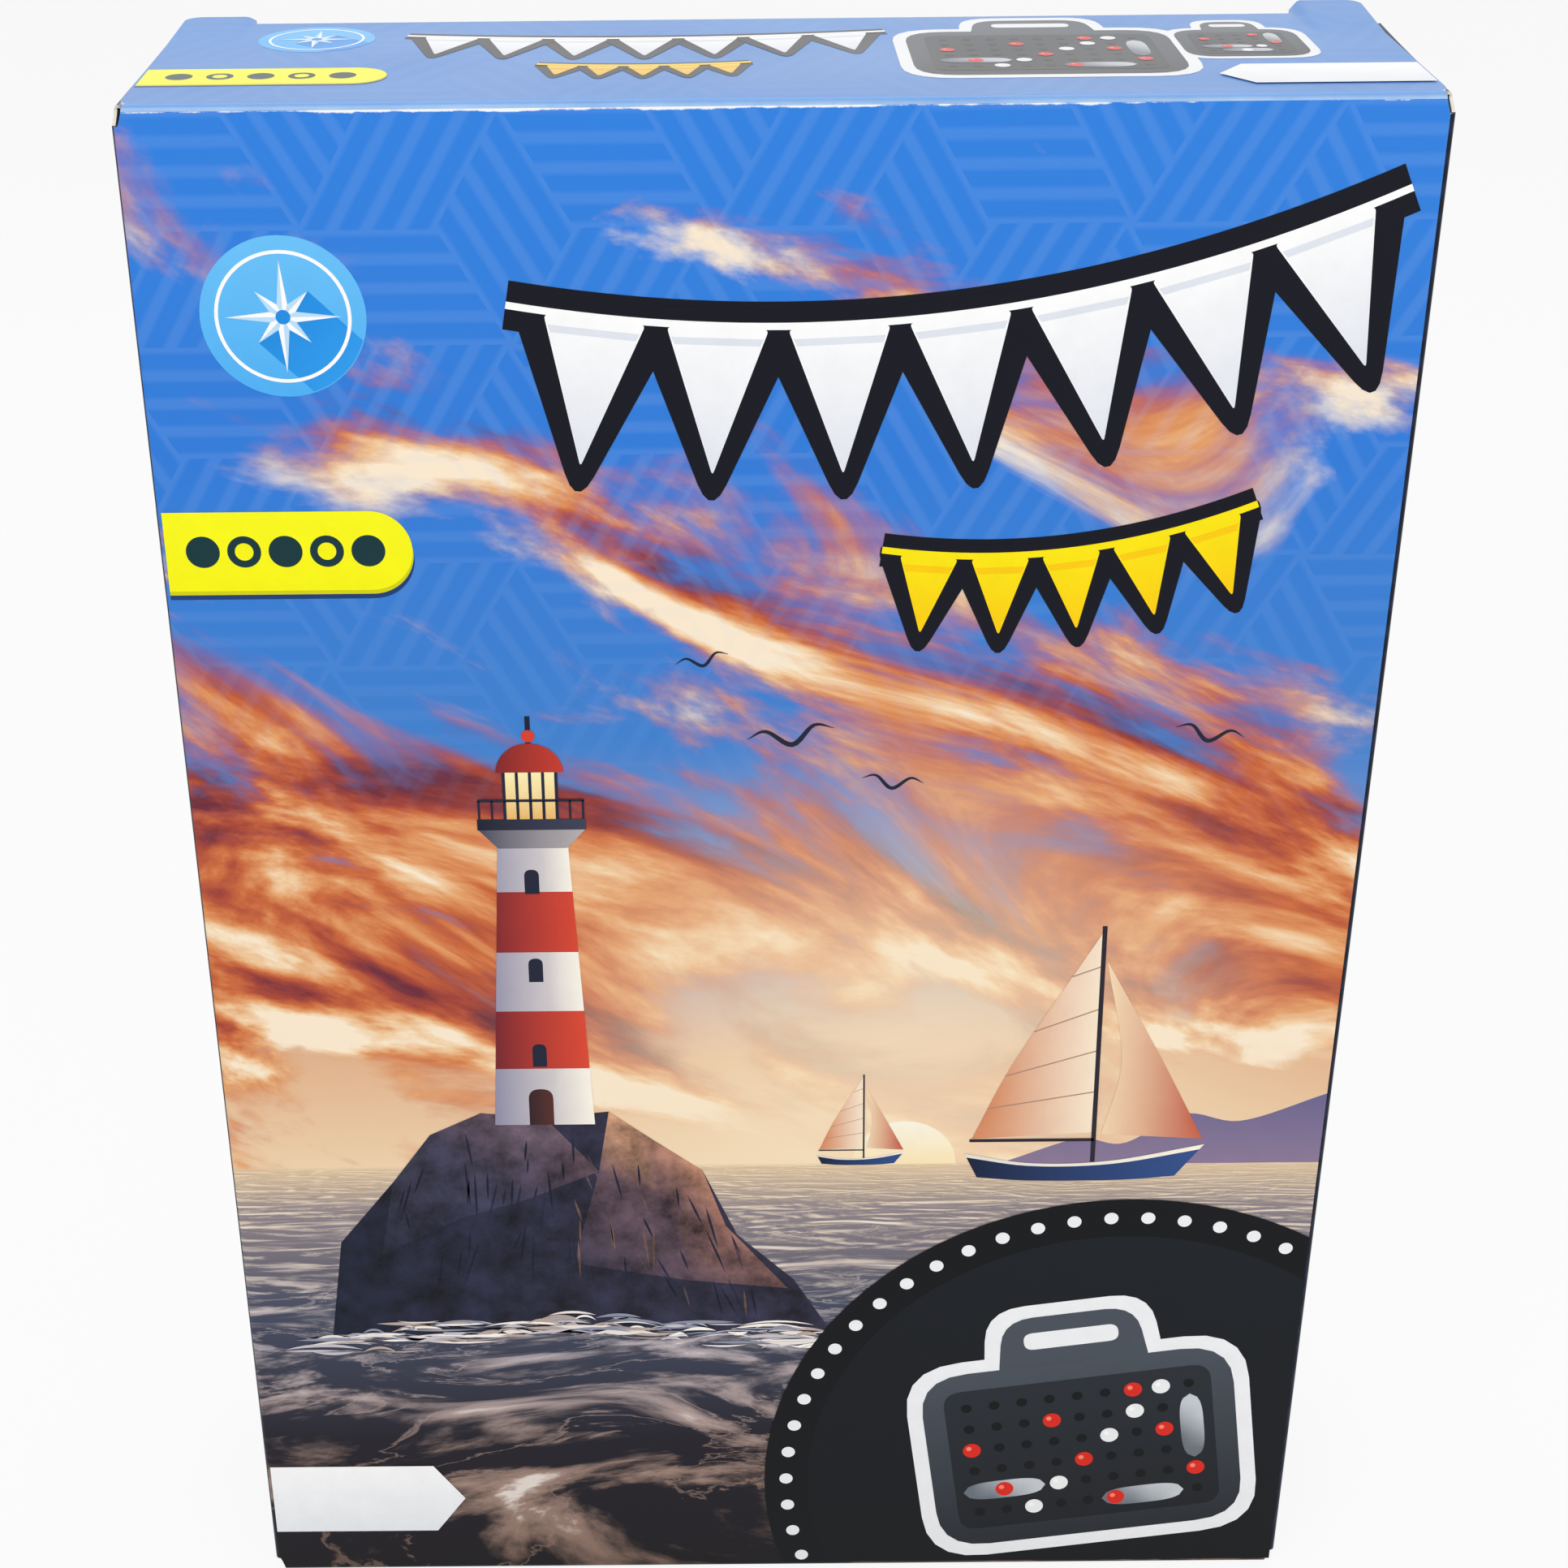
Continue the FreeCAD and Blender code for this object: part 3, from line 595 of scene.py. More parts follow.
@dataclass(frozen=True)
class DrawnWire:
    """Bright drawn steel wire.

    To the eye it is a clean metal whose highlight is broken by fine lines along its length.
    """

    name: str
    pale: str = "#B9BABD"
    dark: str = "#9FA0A4"
    line_size: Triple = (0.25, 0.25, 30.0)
    roughness: Pair = (0.22, 0.4)

    def material(self) -> bpy.types.Material:
        """Build a metal whose roughness follows the drawing lines.

        Returns:
            The finished material.
        """
        bench = Bench(bpy.data.materials.new(self.name))
        lines = bench.noise(1.0, detail=3.0, place=bench.place(self.line_size))
        return bench.close(bench.add("BsdfPrincipled", {
            "Base Color": bench.tones(lines, self.dark, self.pale), "Metallic": 1.0,
            "Roughness": bench.spread(lines, NOISE_SPAN, self.roughness)}))


def make_piece(name: str, points: Points, faces: Iterable[Sequence[int]],
               finishes: Sequence[bpy.types.Material], kinds: Sequence[int] | None = None,
               colours: Points | None = None, rounded: bool = False) -> bpy.types.Object:
    """Write one piece, with doubled points merged and its faces turned outwards.

    Args:
        name: Name of the piece.
        points: Places in millimetres, one row each.
        faces: Point numbers of each face.
        finishes: Materials of the piece.
        kinds: Number of the material on each face, or None for the first.
        colours: Printed colour of each point, or None.
        rounded: Whether its gentle edges look round.

    Returns:
        The new object, at the origin.
    """
    mesh = bpy.data.meshes.new(name)
    mesh.from_pydata((points * MM).tolist(), [], [list(face) for face in faces])
    if kinds is not None:
        mesh.polygons.foreach_set("material_index", np.asarray(kinds, np.int32))
    if colours is not None:
        inks = mesh.attributes.new(INK_LAYER, "FLOAT_COLOR", "POINT")
        inks.data.foreach_set("color", colours.astype(np.float32).ravel())
    body = bmesh.new()
    body.from_mesh(mesh)
    bmesh.ops.remove_doubles(body, verts=body.verts, dist=MERGE_DISTANCE)
    bmesh.ops.recalc_face_normals(body, faces=body.faces)
    body.to_mesh(mesh)
    body.free()
    for finish in finishes:
        mesh.materials.append(finish)
    if rounded:
        mesh.set_sharp_from_angle(angle=SHARP_ANGLE)
    piece = bpy.data.objects.new(name, mesh)
    bpy.context.scene.collection.objects.link(piece)
    LOG.info("%s: %d faces", name, len(mesh.polygons))
    return piece


def unit(way: Points) -> Points:
    """The same directions, each of length one."""
    return way / np.maximum(np.linalg.norm(way, axis=-1, keepdims=True), TINY)


def pairs(x: Points | float, y: Points | float) -> Points:
    """Points from their two columns, where a single number fills its column."""
    return np.column_stack(np.broadcast_arrays(x, y))


def ways(angle: Points) -> Points:
    """Directions of length one at angles that turn left from the right."""
    return pairs(np.cos(angle), np.sin(angle))


def circle(centre: Pair, radius: float, count: int) -> Points:
    """Closed round outline."""
    return centre + radius * ways(np.arange(count) / count * 2 * math.pi)


def block(low: float, high: float, half: float, top_half: float | None = None,
          middle: float = 0.0) -> Points:
    """Four-sided block that stands on its middle line, from its lower left corner.

    Args:
        low: Level of its foot.
        high: Level of its top.
        half: Half width of its foot.
        top_half: Half width of its top, or None for the same.
        middle: Place of its middle line.

    Returns:
        The four corners in order.
    """
    top = half if top_half is None else top_half
    return pairs(middle + np.array([-half, half, top, -top]), np.array([low, low, high, high]))


def eased(points: Sequence[Pair], radius: float | Sequence[float], steps: int = 6) -> Points:
    """Closed outline with each corner replaced by a quadratic curve that starts radius away from it.

    Args:
        points: Corners in order.
        radius: How far from each corner its curve starts, one for all or one each.
        steps: Points on each curve.

    Returns:
        The eased outline.
    """
    p = np.asarray(points, float)
    reach = np.broadcast_to(radius, len(p))[:, None]
    start = p + unit(np.roll(p, 1, 0) - p) * reach
    end = p + unit(np.roll(p, -1, 0) - p) * reach
    t = np.linspace(0.0, 1.0, steps)[None, :, None]
    curve = (1 - t) ** 2 * start[:, None] + 2 * t * (1 - t) * p[:, None] + t ** 2 * end[:, None]
    return curve.reshape(-1, 2)


def smooth(points: Sequence[Pair], count: int = 40) -> Points:
    """Line through given points: a Catmull-Rom cubic, even in its parameter.

    Args:
        points: Points that the line passes.
        count: Points on the line.

    Returns:
        The line, two columns.
    """
    p = np.asarray(points, float)
    ends = np.vstack([2 * p[0] - p[1], p, 2 * p[-1] - p[-2]])
    t = np.linspace(0, len(p) - 1, count)
    i = np.minimum(t.astype(int), len(p) - 2)
    f = (t - i)[:, None]
    a, b, c, d = (ends[i + k] for k in range(4))
    return 0.5 * (2 * b + (c - a) * f + (2 * a - 5 * b + 4 * c - d) * f ** 2
                  + (3 * b - a - 3 * c + d) * f ** 3)


def layered(rows: int, columns: int, closed: bool = False) -> tuple[np.ndarray, np.ndarray, np.ndarray]:
    """Faces between a grid of points and the same grid laid below it.

    Args:
        rows: Lines of the grid.
        columns: Points on each line.
        closed: Whether each line closes on itself.

    Returns:
        Faces of the upper grid, of the lower grid and of the rim between them.
    """
    below = rows * columns
    grid = np.arange(below).reshape(rows, columns)
    wide = np.column_stack([grid, grid[:, :1]]) if closed else grid
    a, b = wide[:-1, :-1].ravel(), wide[:-1, 1:].ravel()
    c, d = wide[1:, 1:].ravel(), wide[1:, :-1].ravel()
    lines = [wide[0], wide[-1]] if closed else [wide[0], wide[-1], wide[:, 0], wide[:, -1]]
    rim = [np.column_stack([e[:-1], e[1:], e[1:] + below, e[:-1] + below]) for e in lines]
    return np.column_stack([a, b, c, d]), np.column_stack([d, c, b, a]) + below, np.concatenate(rim)


class Stock(IntEnum):
    """Finishes of the board, in the order in which its pieces carry them."""

    SEA = 0
    NAVY = 1
    BLUE = 2
    LID = 3
    INSIDE = 4
    CUT = 5
    CREASE = 6


Marks = Stock | Sequence[Stock]


class End(Enum):
    """The carton's two ends."""

    TOP = "top"
    BOTTOM = "bottom"


def flat_board(outline: Points, card: float, origin: Sequence[float],
               ways: Sequence[Sequence[float]], kind: Stock) -> tuple[Points, list, list]:
    """Flat board: one outline on its outer face and again one thickness behind it.

    Args:
        outline: Corners in the plane of the board, two columns.
        card: Thickness of the board.
        origin: The outline's origin, on the middle plane of the board.
        ways: Directions of the outline's two columns, and the way that its printed face looks.
        kind: Finish of the printed face.

    Returns:
        The points, the faces and the finish of each face.
    """
    across, along, outward = np.array(ways)
    plane = origin + outline[:, :1] * across + outline[:, 1:] * along
    step = outward * card / 2
    count = len(outline)
    i = np.arange(count)
    j = (i + 1) % count
    faces = [i, i[::-1] + count, *np.column_stack([i, j, j + count, i + count])]
    return np.concatenate([plane + step, plane - step]), faces, [kind, Stock.INSIDE] + [Stock.CUT] * count


@dataclass
class BoardPath:
    """Path of a board that is folded into walls, seen from above and put together wall by wall."""

    card: float
    radius: float
    turn_steps: int = 8

    def __post_init__(self) -> None:
        """Start with an empty path."""
        self.stretches: list[tuple[Points, ...]] = []

    def _add(self, outer: Points, inner: Points, *marks: Any) -> None:
        """Keep a stretch: points of both faces, then the upper end, finish and rim's finish of each."""
        self.stretches.append((outer, inner, *(np.broadcast_to(mark, len(outer)) for mark in marks)))

    def run(self, line: Sequence[Pair], normal: Pair, tops: Sequence[float], kind: Marks,
            rim: Marks) -> None:
        """Add a straight wall that faces its normal, with one finish for all points or one each."""
        outer = np.asarray(line, float)
        self._add(outer, outer - np.multiply(normal, self.card), tops, kind, rim)

    def turn(self, centre: Pair, start: float, tops: Pair, kind: Marks, rim: Stock) -> None:
        """Add a quarter turn between two walls.

        Args:
            centre: Middle of the arc.
            start: Angle at which the arc starts, in degrees; it turns left.
            tops: Upper ends where it starts and ends.
            kind: Finish of its outer face, one for all points or one each.
            rim: Finish of its cut edges.
        """
        way = ways(np.radians(start) + np.linspace(0, math.pi / 2, self.turn_steps)[1:-1])
        self._add(centre + way * self.radius, centre + way * (self.radius - self.card),
                  np.linspace(*tops, self.turn_steps)[1:-1], kind, rim)

    def board(self, height: float) -> tuple[Points, np.ndarray, np.ndarray]:
        """Carry the path from its lower to its upper ends, which mirror each other.

        Args:
            height: Height of the whole board.

        Returns:
            The points, the faces, and the finish of each face.
        """
        outer, inner, tops, kinds, rims = (np.concatenate(part) for part in zip(*self.stretches))
        points = np.concatenate([
            np.column_stack([line, end]) for line in (outer, inner) for end in (height - tops, tops)])
        count = len(tops)
        last = count - 1
        a = np.arange(last)
        b, c, d = a + count, a + 2 * count, a + 3 * count
        walls = [
            np.column_stack([a, a + 1, b + 1, b]), np.column_stack([c, d, d + 1, c + 1]),
            np.column_stack([b, b + 1, d + 1, d]), np.column_stack([a, c, c + 1, a + 1]),
            np.array([[k, k + count, k + 3 * count, k + 2 * count] for k in (0, last)])]
        marks = [kinds[:-1], np.full(last, Stock.INSIDE), rims[:-1], rims[:-1], [Stock.CUT, Stock.CUT]]
        return points, np.concatenate(walls), np.concatenate(marks)


@dataclass(frozen=True)
class Fold:
    """Rounded crease between two boards, seen along the crease.

    Both boards' middle planes meet at the axis. The outer face is an arc of the given radius that
    is tangent to both outer faces, and the inner face is the same arc less the board's thickness,
    which the scoring rule has pressed thinner towards the middle of the arc.
    """

    axis: Pair
    first: Pair
    second: Pair
    radius: float
    card: float
    steps: int = 13
    pressed: float = 0.3

    def centre(self) -> Points:
        """Centre of the arc: as far inside both outer faces as the radius."""
        depth = self.card / 2 - self.radius
        return self.axis + np.linalg.solve([self.first, self.second], [depth, depth])

    def arcs(self) -> tuple[Points, Points]:
        """Turn evenly from the first board's normal to the second's.

        Returns:
            The outer and the inner arc, from the first board to the second.
        """
        start, finish = (math.atan2(y, x) for x, y in (self.first, self.second))
        sweep = (finish - start + math.pi) % (2 * math.pi) - math.pi
        share = np.linspace(0, 1, self.steps)
        way = ways(start + sweep * share)
        inner = self.radius - self.card * (1 - self.pressed * np.sin(math.pi * share))
        return self.centre() + way * self.radius, self.centre() + way * inner[:, None]

    def bend(self) -> Points:
        """Find where the bend starts and ends, so that both faces of each board stay with it.

        The line runs between the ends of the outer arc. It starts where the inner arc's first
        point lies beside it, and ends where its last one does.

        Returns:
            The two ends of the bend, one row each.
        """
        outer, inner = self.arcs()
        way = outer[-1] - outer[0]
        share = np.clip((inner[[0, -1]] - outer[0]) @ way / (way @ way), 0, 1)
        return outer[0] + share[:, None] * way


@dataclass
class Carton:
    """The board carton: its sleeve, and at each end a lid, its tongue and two dust flaps."""

    edge_radius: float = 0.9
    lid_radius: float = 1.0
    flap_radius: float = 0.7
    support: float = 0.25
    hair: float = 0.05
    slit: float = 0.3
    slit_end: float = 0.02
    lid_taper: float = 0.7
    lid_corner: float = 2.0
    lid_rows: int = 17
    lid_points: int = 14
    ear_inner: float = 82.4
    ear_round: float = 2.6
    ear_step: float = 2.0
    ear_points: int = 6
    ear_spring: Pair = (0.4, 1.3)
    spring_start: float = 10.0
    arc_points: int = 8
    crease_rows: int = 13
    corner_relief: float = 1.6
    corner_drop: float = 2.1
    corner_rise: float = 0.6
    tongue_shoulder: float = 0.9
    shoulder_round: float = 0.6
    tongue_round: float = 9.0
    tongue_trim: float = 0.1
    flap_round: float = 5.0
    flap_taper: float = 0.55
    dust_bulge: Pair = (-0.35, 0.7)
    dust_setback: float = 2.0
    wrap_step: int = 3
    glue_end: float = 6.0
    rear_drop: float = 0.4
    seam_gap: float = 0.3

    def __post_init__(self) -> None:
        """Read the carton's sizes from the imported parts, in millimetres, and make its finishes."""
        front, back = self._box("front_panel"), self._box("back_panel")
        self.half = front[1][0]
        self.front = front[0][1]
        self.card = front[1][1] - front[0][1]
        self.back = back[1][1]
        self.height = back[1][2]
        self.lid_half, self.ear_rear = self._box("top_lid")[1][:2]
        self.dust_low, self.dust_high = self._box("top_dust_right")
        self.glue_low, self.glue_high = self._box("glue_flap")
        self.axes = {
            joint["name"]: np.array(joint.get("pos_m", (0, 0, 0))) / MM for joint in frame["joints"]}
        tongue_low, tongue_high = self._box("top_tongue")
        axis = self.axes["top_tongue_fold"]
        self.tongue_half = tongue_high[0]
        self.tongue_reach = axis[2] - tongue_low[2]
        self.tongue_lean = math.atan2(axis[1] - self.card / 2 - tongue_low[1], self.tongue_reach)
        side_stripes = Stripes(("Y", "Z"), ink=0.16, tone="#31456E")
        blue = ("#4C86CE", "#5690D6")
        lid_print = PlainPrint(*blue, Stripes(("X", "Y"), ink=0.04))
        self.finishes = [finish.material() for finish in (
            CoatedBoard("gloss_board_seascape", Seascape()),
            CoatedBoard("gloss_board_navy", PlainPrint("#0A1020", "#0E1528", side_stripes)),
            CoatedBoard("gloss_board_blue", PlainPrint(*blue, Stripes())),
            CoatedBoard("gloss_board_lid", lid_print, specular=0.35, coat=0.15),
            RawBoard("uncoated_board_back", "#CFC8BB", "#A9A194"),
            RawBoard("cut_board_core", "#F6F3EC", "#E2DCD0"),
            # The crease's finish carries a painted highlight as well as a stronger gloss.
            CoatedBoard("gloss_board_crease", CreaseHighlightPrint(), specular=0.4, coat=0.3))]

    @staticmethod
    def _box(node: str) -> tuple[list[float], ...]:
        """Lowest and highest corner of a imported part, in millimetres."""
        return tuple([part / MM for part in corner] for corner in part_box(node))

    def build(self) -> None:
        """Make the sleeve and both ends."""
        self.sleeve()
        for end in End:
            self.closure(end)

    def sleeve(self) -> None:
        """Make one board around the carton: left, front, right, back, then the glued flap inside.

        The path runs straight along each wall and turns on a quarter arc at each edge, with a
        point close to each arc so that the flat walls stay flat. The board's ends follow the
        walls' own heights. Each corner of the front is cut down, and the bare rim shows where
        the side wall rises again behind it.
        """
        r, s, card = self.edge_radius, self.support, self.card
        h, y0, y1 = self.half, self.front, self.back
        side = self.axes["top_dust_right_fold"][2] + card / 2 - self.flap_radius
        top = self.height - self.lid_radius
        low = top - self.corner_drop
        rising = low + self.corner_rise
        ear = self.ear_inner - self.slit
        slit = ear + self.slit_end
        shelf = self.height - card - self.hair
        rear = self.height - self.rear_drop
        tuck = self.glue_high[2]
        flap_x = -h + card
        flap_y = self.dust_low[1] + self.dust_setback
        relief = h - self.corner_relief
        sea, navy, blue, inside, cut = Stock.SEA, Stock.NAVY, Stock.BLUE, Stock.INSIDE, Stock.CUT
        path = BoardPath(card, r)
        path.run([(-h, y1 - self.seam_gap), (-h, flap_y), (-h, y0 + r)], (-1, 0), [side, side, low],
                 navy, [navy, cut, navy])
        wrap = [navy] * self.wrap_step + [sea] * (path.turn_steps - 2 - self.wrap_step)
        path.turn((-h + r, y0 + r), 180, (low, low), wrap, navy)
        across = (-h + r, -h + r + s, -relief, relief, h - r - s, h - r)
        path.run([(x, y0) for x in across], (0, -1), [low, rising, top, top, rising, low],
                 [sea, sea, sea, sea, sea, navy], cut)
        path.turn((h - r, y0 + r), 270, (low, low), navy, navy)
        path.run([(h, y0 + r), (h, flap_y), (h, y1 - r - s), (h, y1 - r)], (1, 0), [low, side, side, side],
                 navy, [cut, navy, navy, navy])
        path.turn((h - r, y1 - r), 0, (side, shelf), navy, navy)
        across = (h - r, h - r - s, slit, ear, -ear, -slit, flap_x + r + s, flap_x + r)
        path.run([(x, y1) for x in across], (0, 1),
                 [shelf, shelf, shelf, rear, rear, shelf, shelf, shelf], blue, cut)
        path.turn((flap_x + r, y1 - r), 90, (shelf, shelf), blue, blue)
        inward = (y1 - r, y1 - r - self.hair, self.glue_low[1])
        path.run([(flap_x, y) for y in inward], (-1, 0), [tuck, tuck, tuck - self.glue_end], inside, cut)
        points, faces, marks = path.board(self.height)
        piece = make_piece("carton_sleeve", points, faces, self.finishes, marks, rounded=True)
        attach(piece, "carton")
        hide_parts("front_panel", "back_panel", "left_panel", "right_panel", "glue_flap")

    def _place(self, end: End, points: Points) -> Points:
        """Points of the top end, or their mirror image at the bottom end."""
        return points if end is End.TOP else points * (1, 1, -1) + (0, 0, self.height)

    def _crease(self, end: End, name: str, fold: Fold, order: tuple[int, int, int], span: Pair,
                bodies: tuple[str, str], kind: Stock, bulge: float = 0.0, taper: float = 0.0) -> None:
        """Make one rounded crease between the boards it joins.

        The fold's arcs are carried along its length. A bulge pushes the middle of the arc outwards,
        growing with the square of the way to the far end, as a crease that was folded by hand. A
        taper draws both ends in, by the square of the way around the arc.

        Args:
            end: Which end of the carton.
            name: Name of the piece, without the end.
            fold: Shape of the crease.
            order: Columns of fold, fold and length that give x, y and z.
            span: Where the crease starts and ends along its length.
            bodies: The two bodies it joins; not used.
            kind: Finish of its outer face.
            bulge: How far the far end stands out.
            taper: How much shorter each end is at the second board.
        """
        share = np.linspace(0, 1, self.crease_rows)
        around = np.linspace(0, 1, fold.steps)
        way = unit(np.add(fold.first, fold.second))
        push = bulge * (share ** 2)[:, None, None] * np.sin(math.pi * around)[:, None] * way
        line = span[0] + (span[1] - span[0]) * share
        along = line[:, None] - taper * np.outer(2 * share - 1, around ** 2)
        layers = [np.dstack([arc + push, along]).reshape(-1, 3)[:, order] for arc in fold.arcs()]
        faces = layered(*along.shape)
        kinds = np.repeat([kind, Stock.INSIDE, Stock.CUT], [len(part) for part in faces])
        piece = make_piece(f"{end.value}_{name}", self._place(end, np.concatenate(layers)),
                           np.concatenate(faces), self.finishes, kinds, rounded=True)
        limits = np.column_stack([fold.bend(), [span[0], span[0]]])[:, order]
        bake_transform(piece)

    def _board(self, end: End, name: str, points: Points, faces: Iterable[Sequence[int]],
               kinds: Sequence[int], slot: str, rounded: bool = False) -> None:
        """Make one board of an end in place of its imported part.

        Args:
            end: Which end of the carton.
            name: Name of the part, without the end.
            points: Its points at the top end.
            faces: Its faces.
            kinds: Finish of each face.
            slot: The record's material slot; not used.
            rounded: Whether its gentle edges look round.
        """
        node = f"{end.value}_{name}"
        points = self._place(end, points)
        piece = make_piece(f"{node}_board", points, faces, self.finishes, kinds, rounded=rounded)
        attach(piece, node)
        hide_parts(node)

    def closure(self, end: End) -> None:
        """Make one end: lid with ears, tongue, dust flaps and the creases that join them.

        Args:
            end: Which end of the carton.
        """
        lid_axis, tongue_axis = self.axes["top_lid_fold"], self.axes["top_tongue_fold"]
        lean = self.tongue_lean
        behind = (math.cos(lean), -math.sin(lean))
        down = (-math.sin(lean), -math.cos(lean))
        lid_fold = Fold(tuple(lid_axis[1:]), (-1.0, 0.0), (0.0, 1.0), self.lid_radius, self.card)
        back_fold = Fold(tuple(tongue_axis[1:]), (0.0, 1.0), behind, self.flap_radius, self.card)
        along_x = (2, 0, 1)
        crease_half = self.half - self.corner_relief
        inner_ear = self.ear_inner - self.slit
        # The top lid's crease takes the finish with the painted highlight.
        self._crease(end, "lid_crease", lid_fold, along_x, (-crease_half, crease_half),
                     ("carton", f"{end.value}_lid"), Stock.CREASE if end is End.TOP else Stock.SEA,
                     taper=self.lid_taper)
        self._crease(end, "tongue_crease", back_fold, along_x, (-inner_ear, inner_ear),
                     (f"{end.value}_lid", f"{end.value}_tongue"), Stock.LID)
        front, rear = lid_fold.arcs()[0][-1][0], back_fold.arcs()[0][0][0]
        self._lid(end, front, rear)
        reach = (back_fold.arcs()[0][-1] - tongue_axis[1:]) @ np.array(down)
        self._tongue(end, reach, down, behind)
        for side in (-1, 1):
            self._dust_flap(end, side)

    def _lid(self, end: End, front: float, rear: float) -> None:
        """Make the lid: lines across it run from the front crease to a rear edge with two ears.

        The rear edge is the tongue's fold between the ears, steps back to them on a small quarter
        arc and leaves them on a larger one. A sprung ear is tilted up about a line across the lid,
        by its share of the way back, and eases in over the width of its slit.

        Args:
            end: Which end of the carton.
            front: Where the lid starts, behind the front crease.
            rear: Where it ends between the ears.
        """
        wide, inner, ears = self.lid_half, self.ear_inner, self.ear_rear
        near, far = self.ear_step, self.ear_round
        t = np.linspace(0, math.pi / 2, self.arc_points)
        between = np.linspace(0, inner - 2 * self.hair, self.lid_points)
        ear = np.linspace(inner + near, wide - far, self.ear_points)[1:-1]
        x = np.concatenate([
            between, inner + near * (1 - np.cos(t)), ear, wide - far + far * np.sin(t)])
        back = np.concatenate([
            np.full(len(between), rear), ears - near + near * np.sin(t), np.full(len(ear), ears),
            ears - far + far * np.cos(t)])
        start = self.half - self.corner_relief - self.lid_taper
        ahead = front + self.lid_corner * np.clip((x - start) / (wide - start), 0, 1) ** 2
        x = np.concatenate([-x[:0:-1], x])
        back, ahead = (np.concatenate([part[:0:-1], part]) for part in (back, ahead))
        y = ahead + (back - ahead) * np.linspace(0, 1, self.lid_rows)[:, None]
        spring = np.where(x < 0, *(self.ear_spring if end is End.TOP else (0.0, 0.0)))
        out = np.clip((np.abs(x) - inner) / self.ear_step, 0, 1)
        out = out ** 2 * (3 - 2 * out)
        lift = spring * out * np.clip((y - self.spring_start) / (ears - self.spring_start), 0, 1)
        upper = np.stack([np.broadcast_to(x, y.shape), y, self.height + lift], axis=-1).reshape(-1, 3)
        faces = layered(*y.shape)
        kinds = np.repeat([Stock.LID, Stock.INSIDE, Stock.CUT], [len(part) for part in faces])
        points = np.concatenate([upper, upper - (0, 0, self.card)])
        self._board(end, "lid", points, np.concatenate(faces), kinds, "printed_board", rounded=True)

    def _tongue(self, end: End, reach: float, down: Pair, behind: Pair) -> None:
        """Make the tongue: narrow at its fold, then shoulders, and a tip with large round corners.

        Args:
            end: Which end of the carton.
            reach: Where it starts, beyond its fold's axis.
            down: The way it hangs, in y and z.
            behind: The way its printed face looks, in y and z.
        """
        inner, wide = self.ear_inner - self.slit, self.tongue_half
        tip = self.tongue_reach / math.cos(self.tongue_lean) - self.tongue_trim
        right = [(inner, reach), (inner, self.tongue_shoulder), (wide, self.tongue_shoulder), (wide, tip)]
        rounds = [0.0, 0.0, self.shoulder_round, self.tongue_round]
        outline = eased(right + [(-x, y) for x, y in reversed(right)], rounds + rounds[::-1])
        ways = ((1, 0, 0), (0, *down), (0, *behind))
        origin = (0, *self.axes["top_tongue_fold"][1:])
        board = flat_board(outline, self.card, origin, ways, Stock.LID)
        self._board(end, "tongue", *board, "printed_board")

    def _dust_flap(self, end: End, side: int) -> None:
        """Make one dust flap, cut back towards the lid's fold, and its crease on the side wall.

        Args:
            end: Which end of the carton.
            side: Minus one for the left flap, one for the right.
        """
        name = "dust_left" if side < 0 else "dust_right"
        axis = self.axes["top_dust_right_fold"]
        fold = Fold((side * axis[0], axis[2]), (float(side), 0.0), (0.0, 1.0), self.flap_radius, self.card)
        y0, y1 = self.dust_low[1] + self.dust_setback, self.dust_high[1]
        self._crease(end, f"{name}_crease", fold, (0, 2, 1), (y0, y1), ("carton", f"{end.value}_{name}"),
                     Stock.NAVY, self.dust_bulge[side > 0] if end is End.TOP else 0.0)
        start = axis[0] - abs(fold.arcs()[0][-1][0])
        length = axis[0] - self.dust_low[0]
        corners = [(y0, start), (y1, start), (y1, length), (y0 + self.flap_taper * length, length)]
        outline = eased(corners, [0.0, 0.0, self.flap_round, self.flap_round])
        ways = ((0, 1, 0), (-side, 0, 0), (0, 0, 1))
        board = flat_board(outline, self.card, (side * axis[0], 0, axis[2]), ways, Stock.BLUE)
        self._board(end, name, *board, "flap_board")


@dataclass(frozen=True)
class Ink:
    """One printed colour, or a straight blend from one to another between two points."""

    first: str
    second: str | None = None
    start: Pair = (0.0, 0.0)
    end: Pair = (0.0, 1.0)

    def at(self, points: Points) -> Points:
        """Mix the two colours by each point's share of the way from start to end.

        Args:
            points: Places on the sheet.

        Returns:
            The colour at each place.
        """
        way = np.subtract(self.end, self.start)
        share = np.clip((points - self.start) @ way / (way @ way), 0, 1)[..., None]
        first, second = (np.array(linear(code)) for code in (self.first, self.second or self.first))
        return first + (second - first) * share


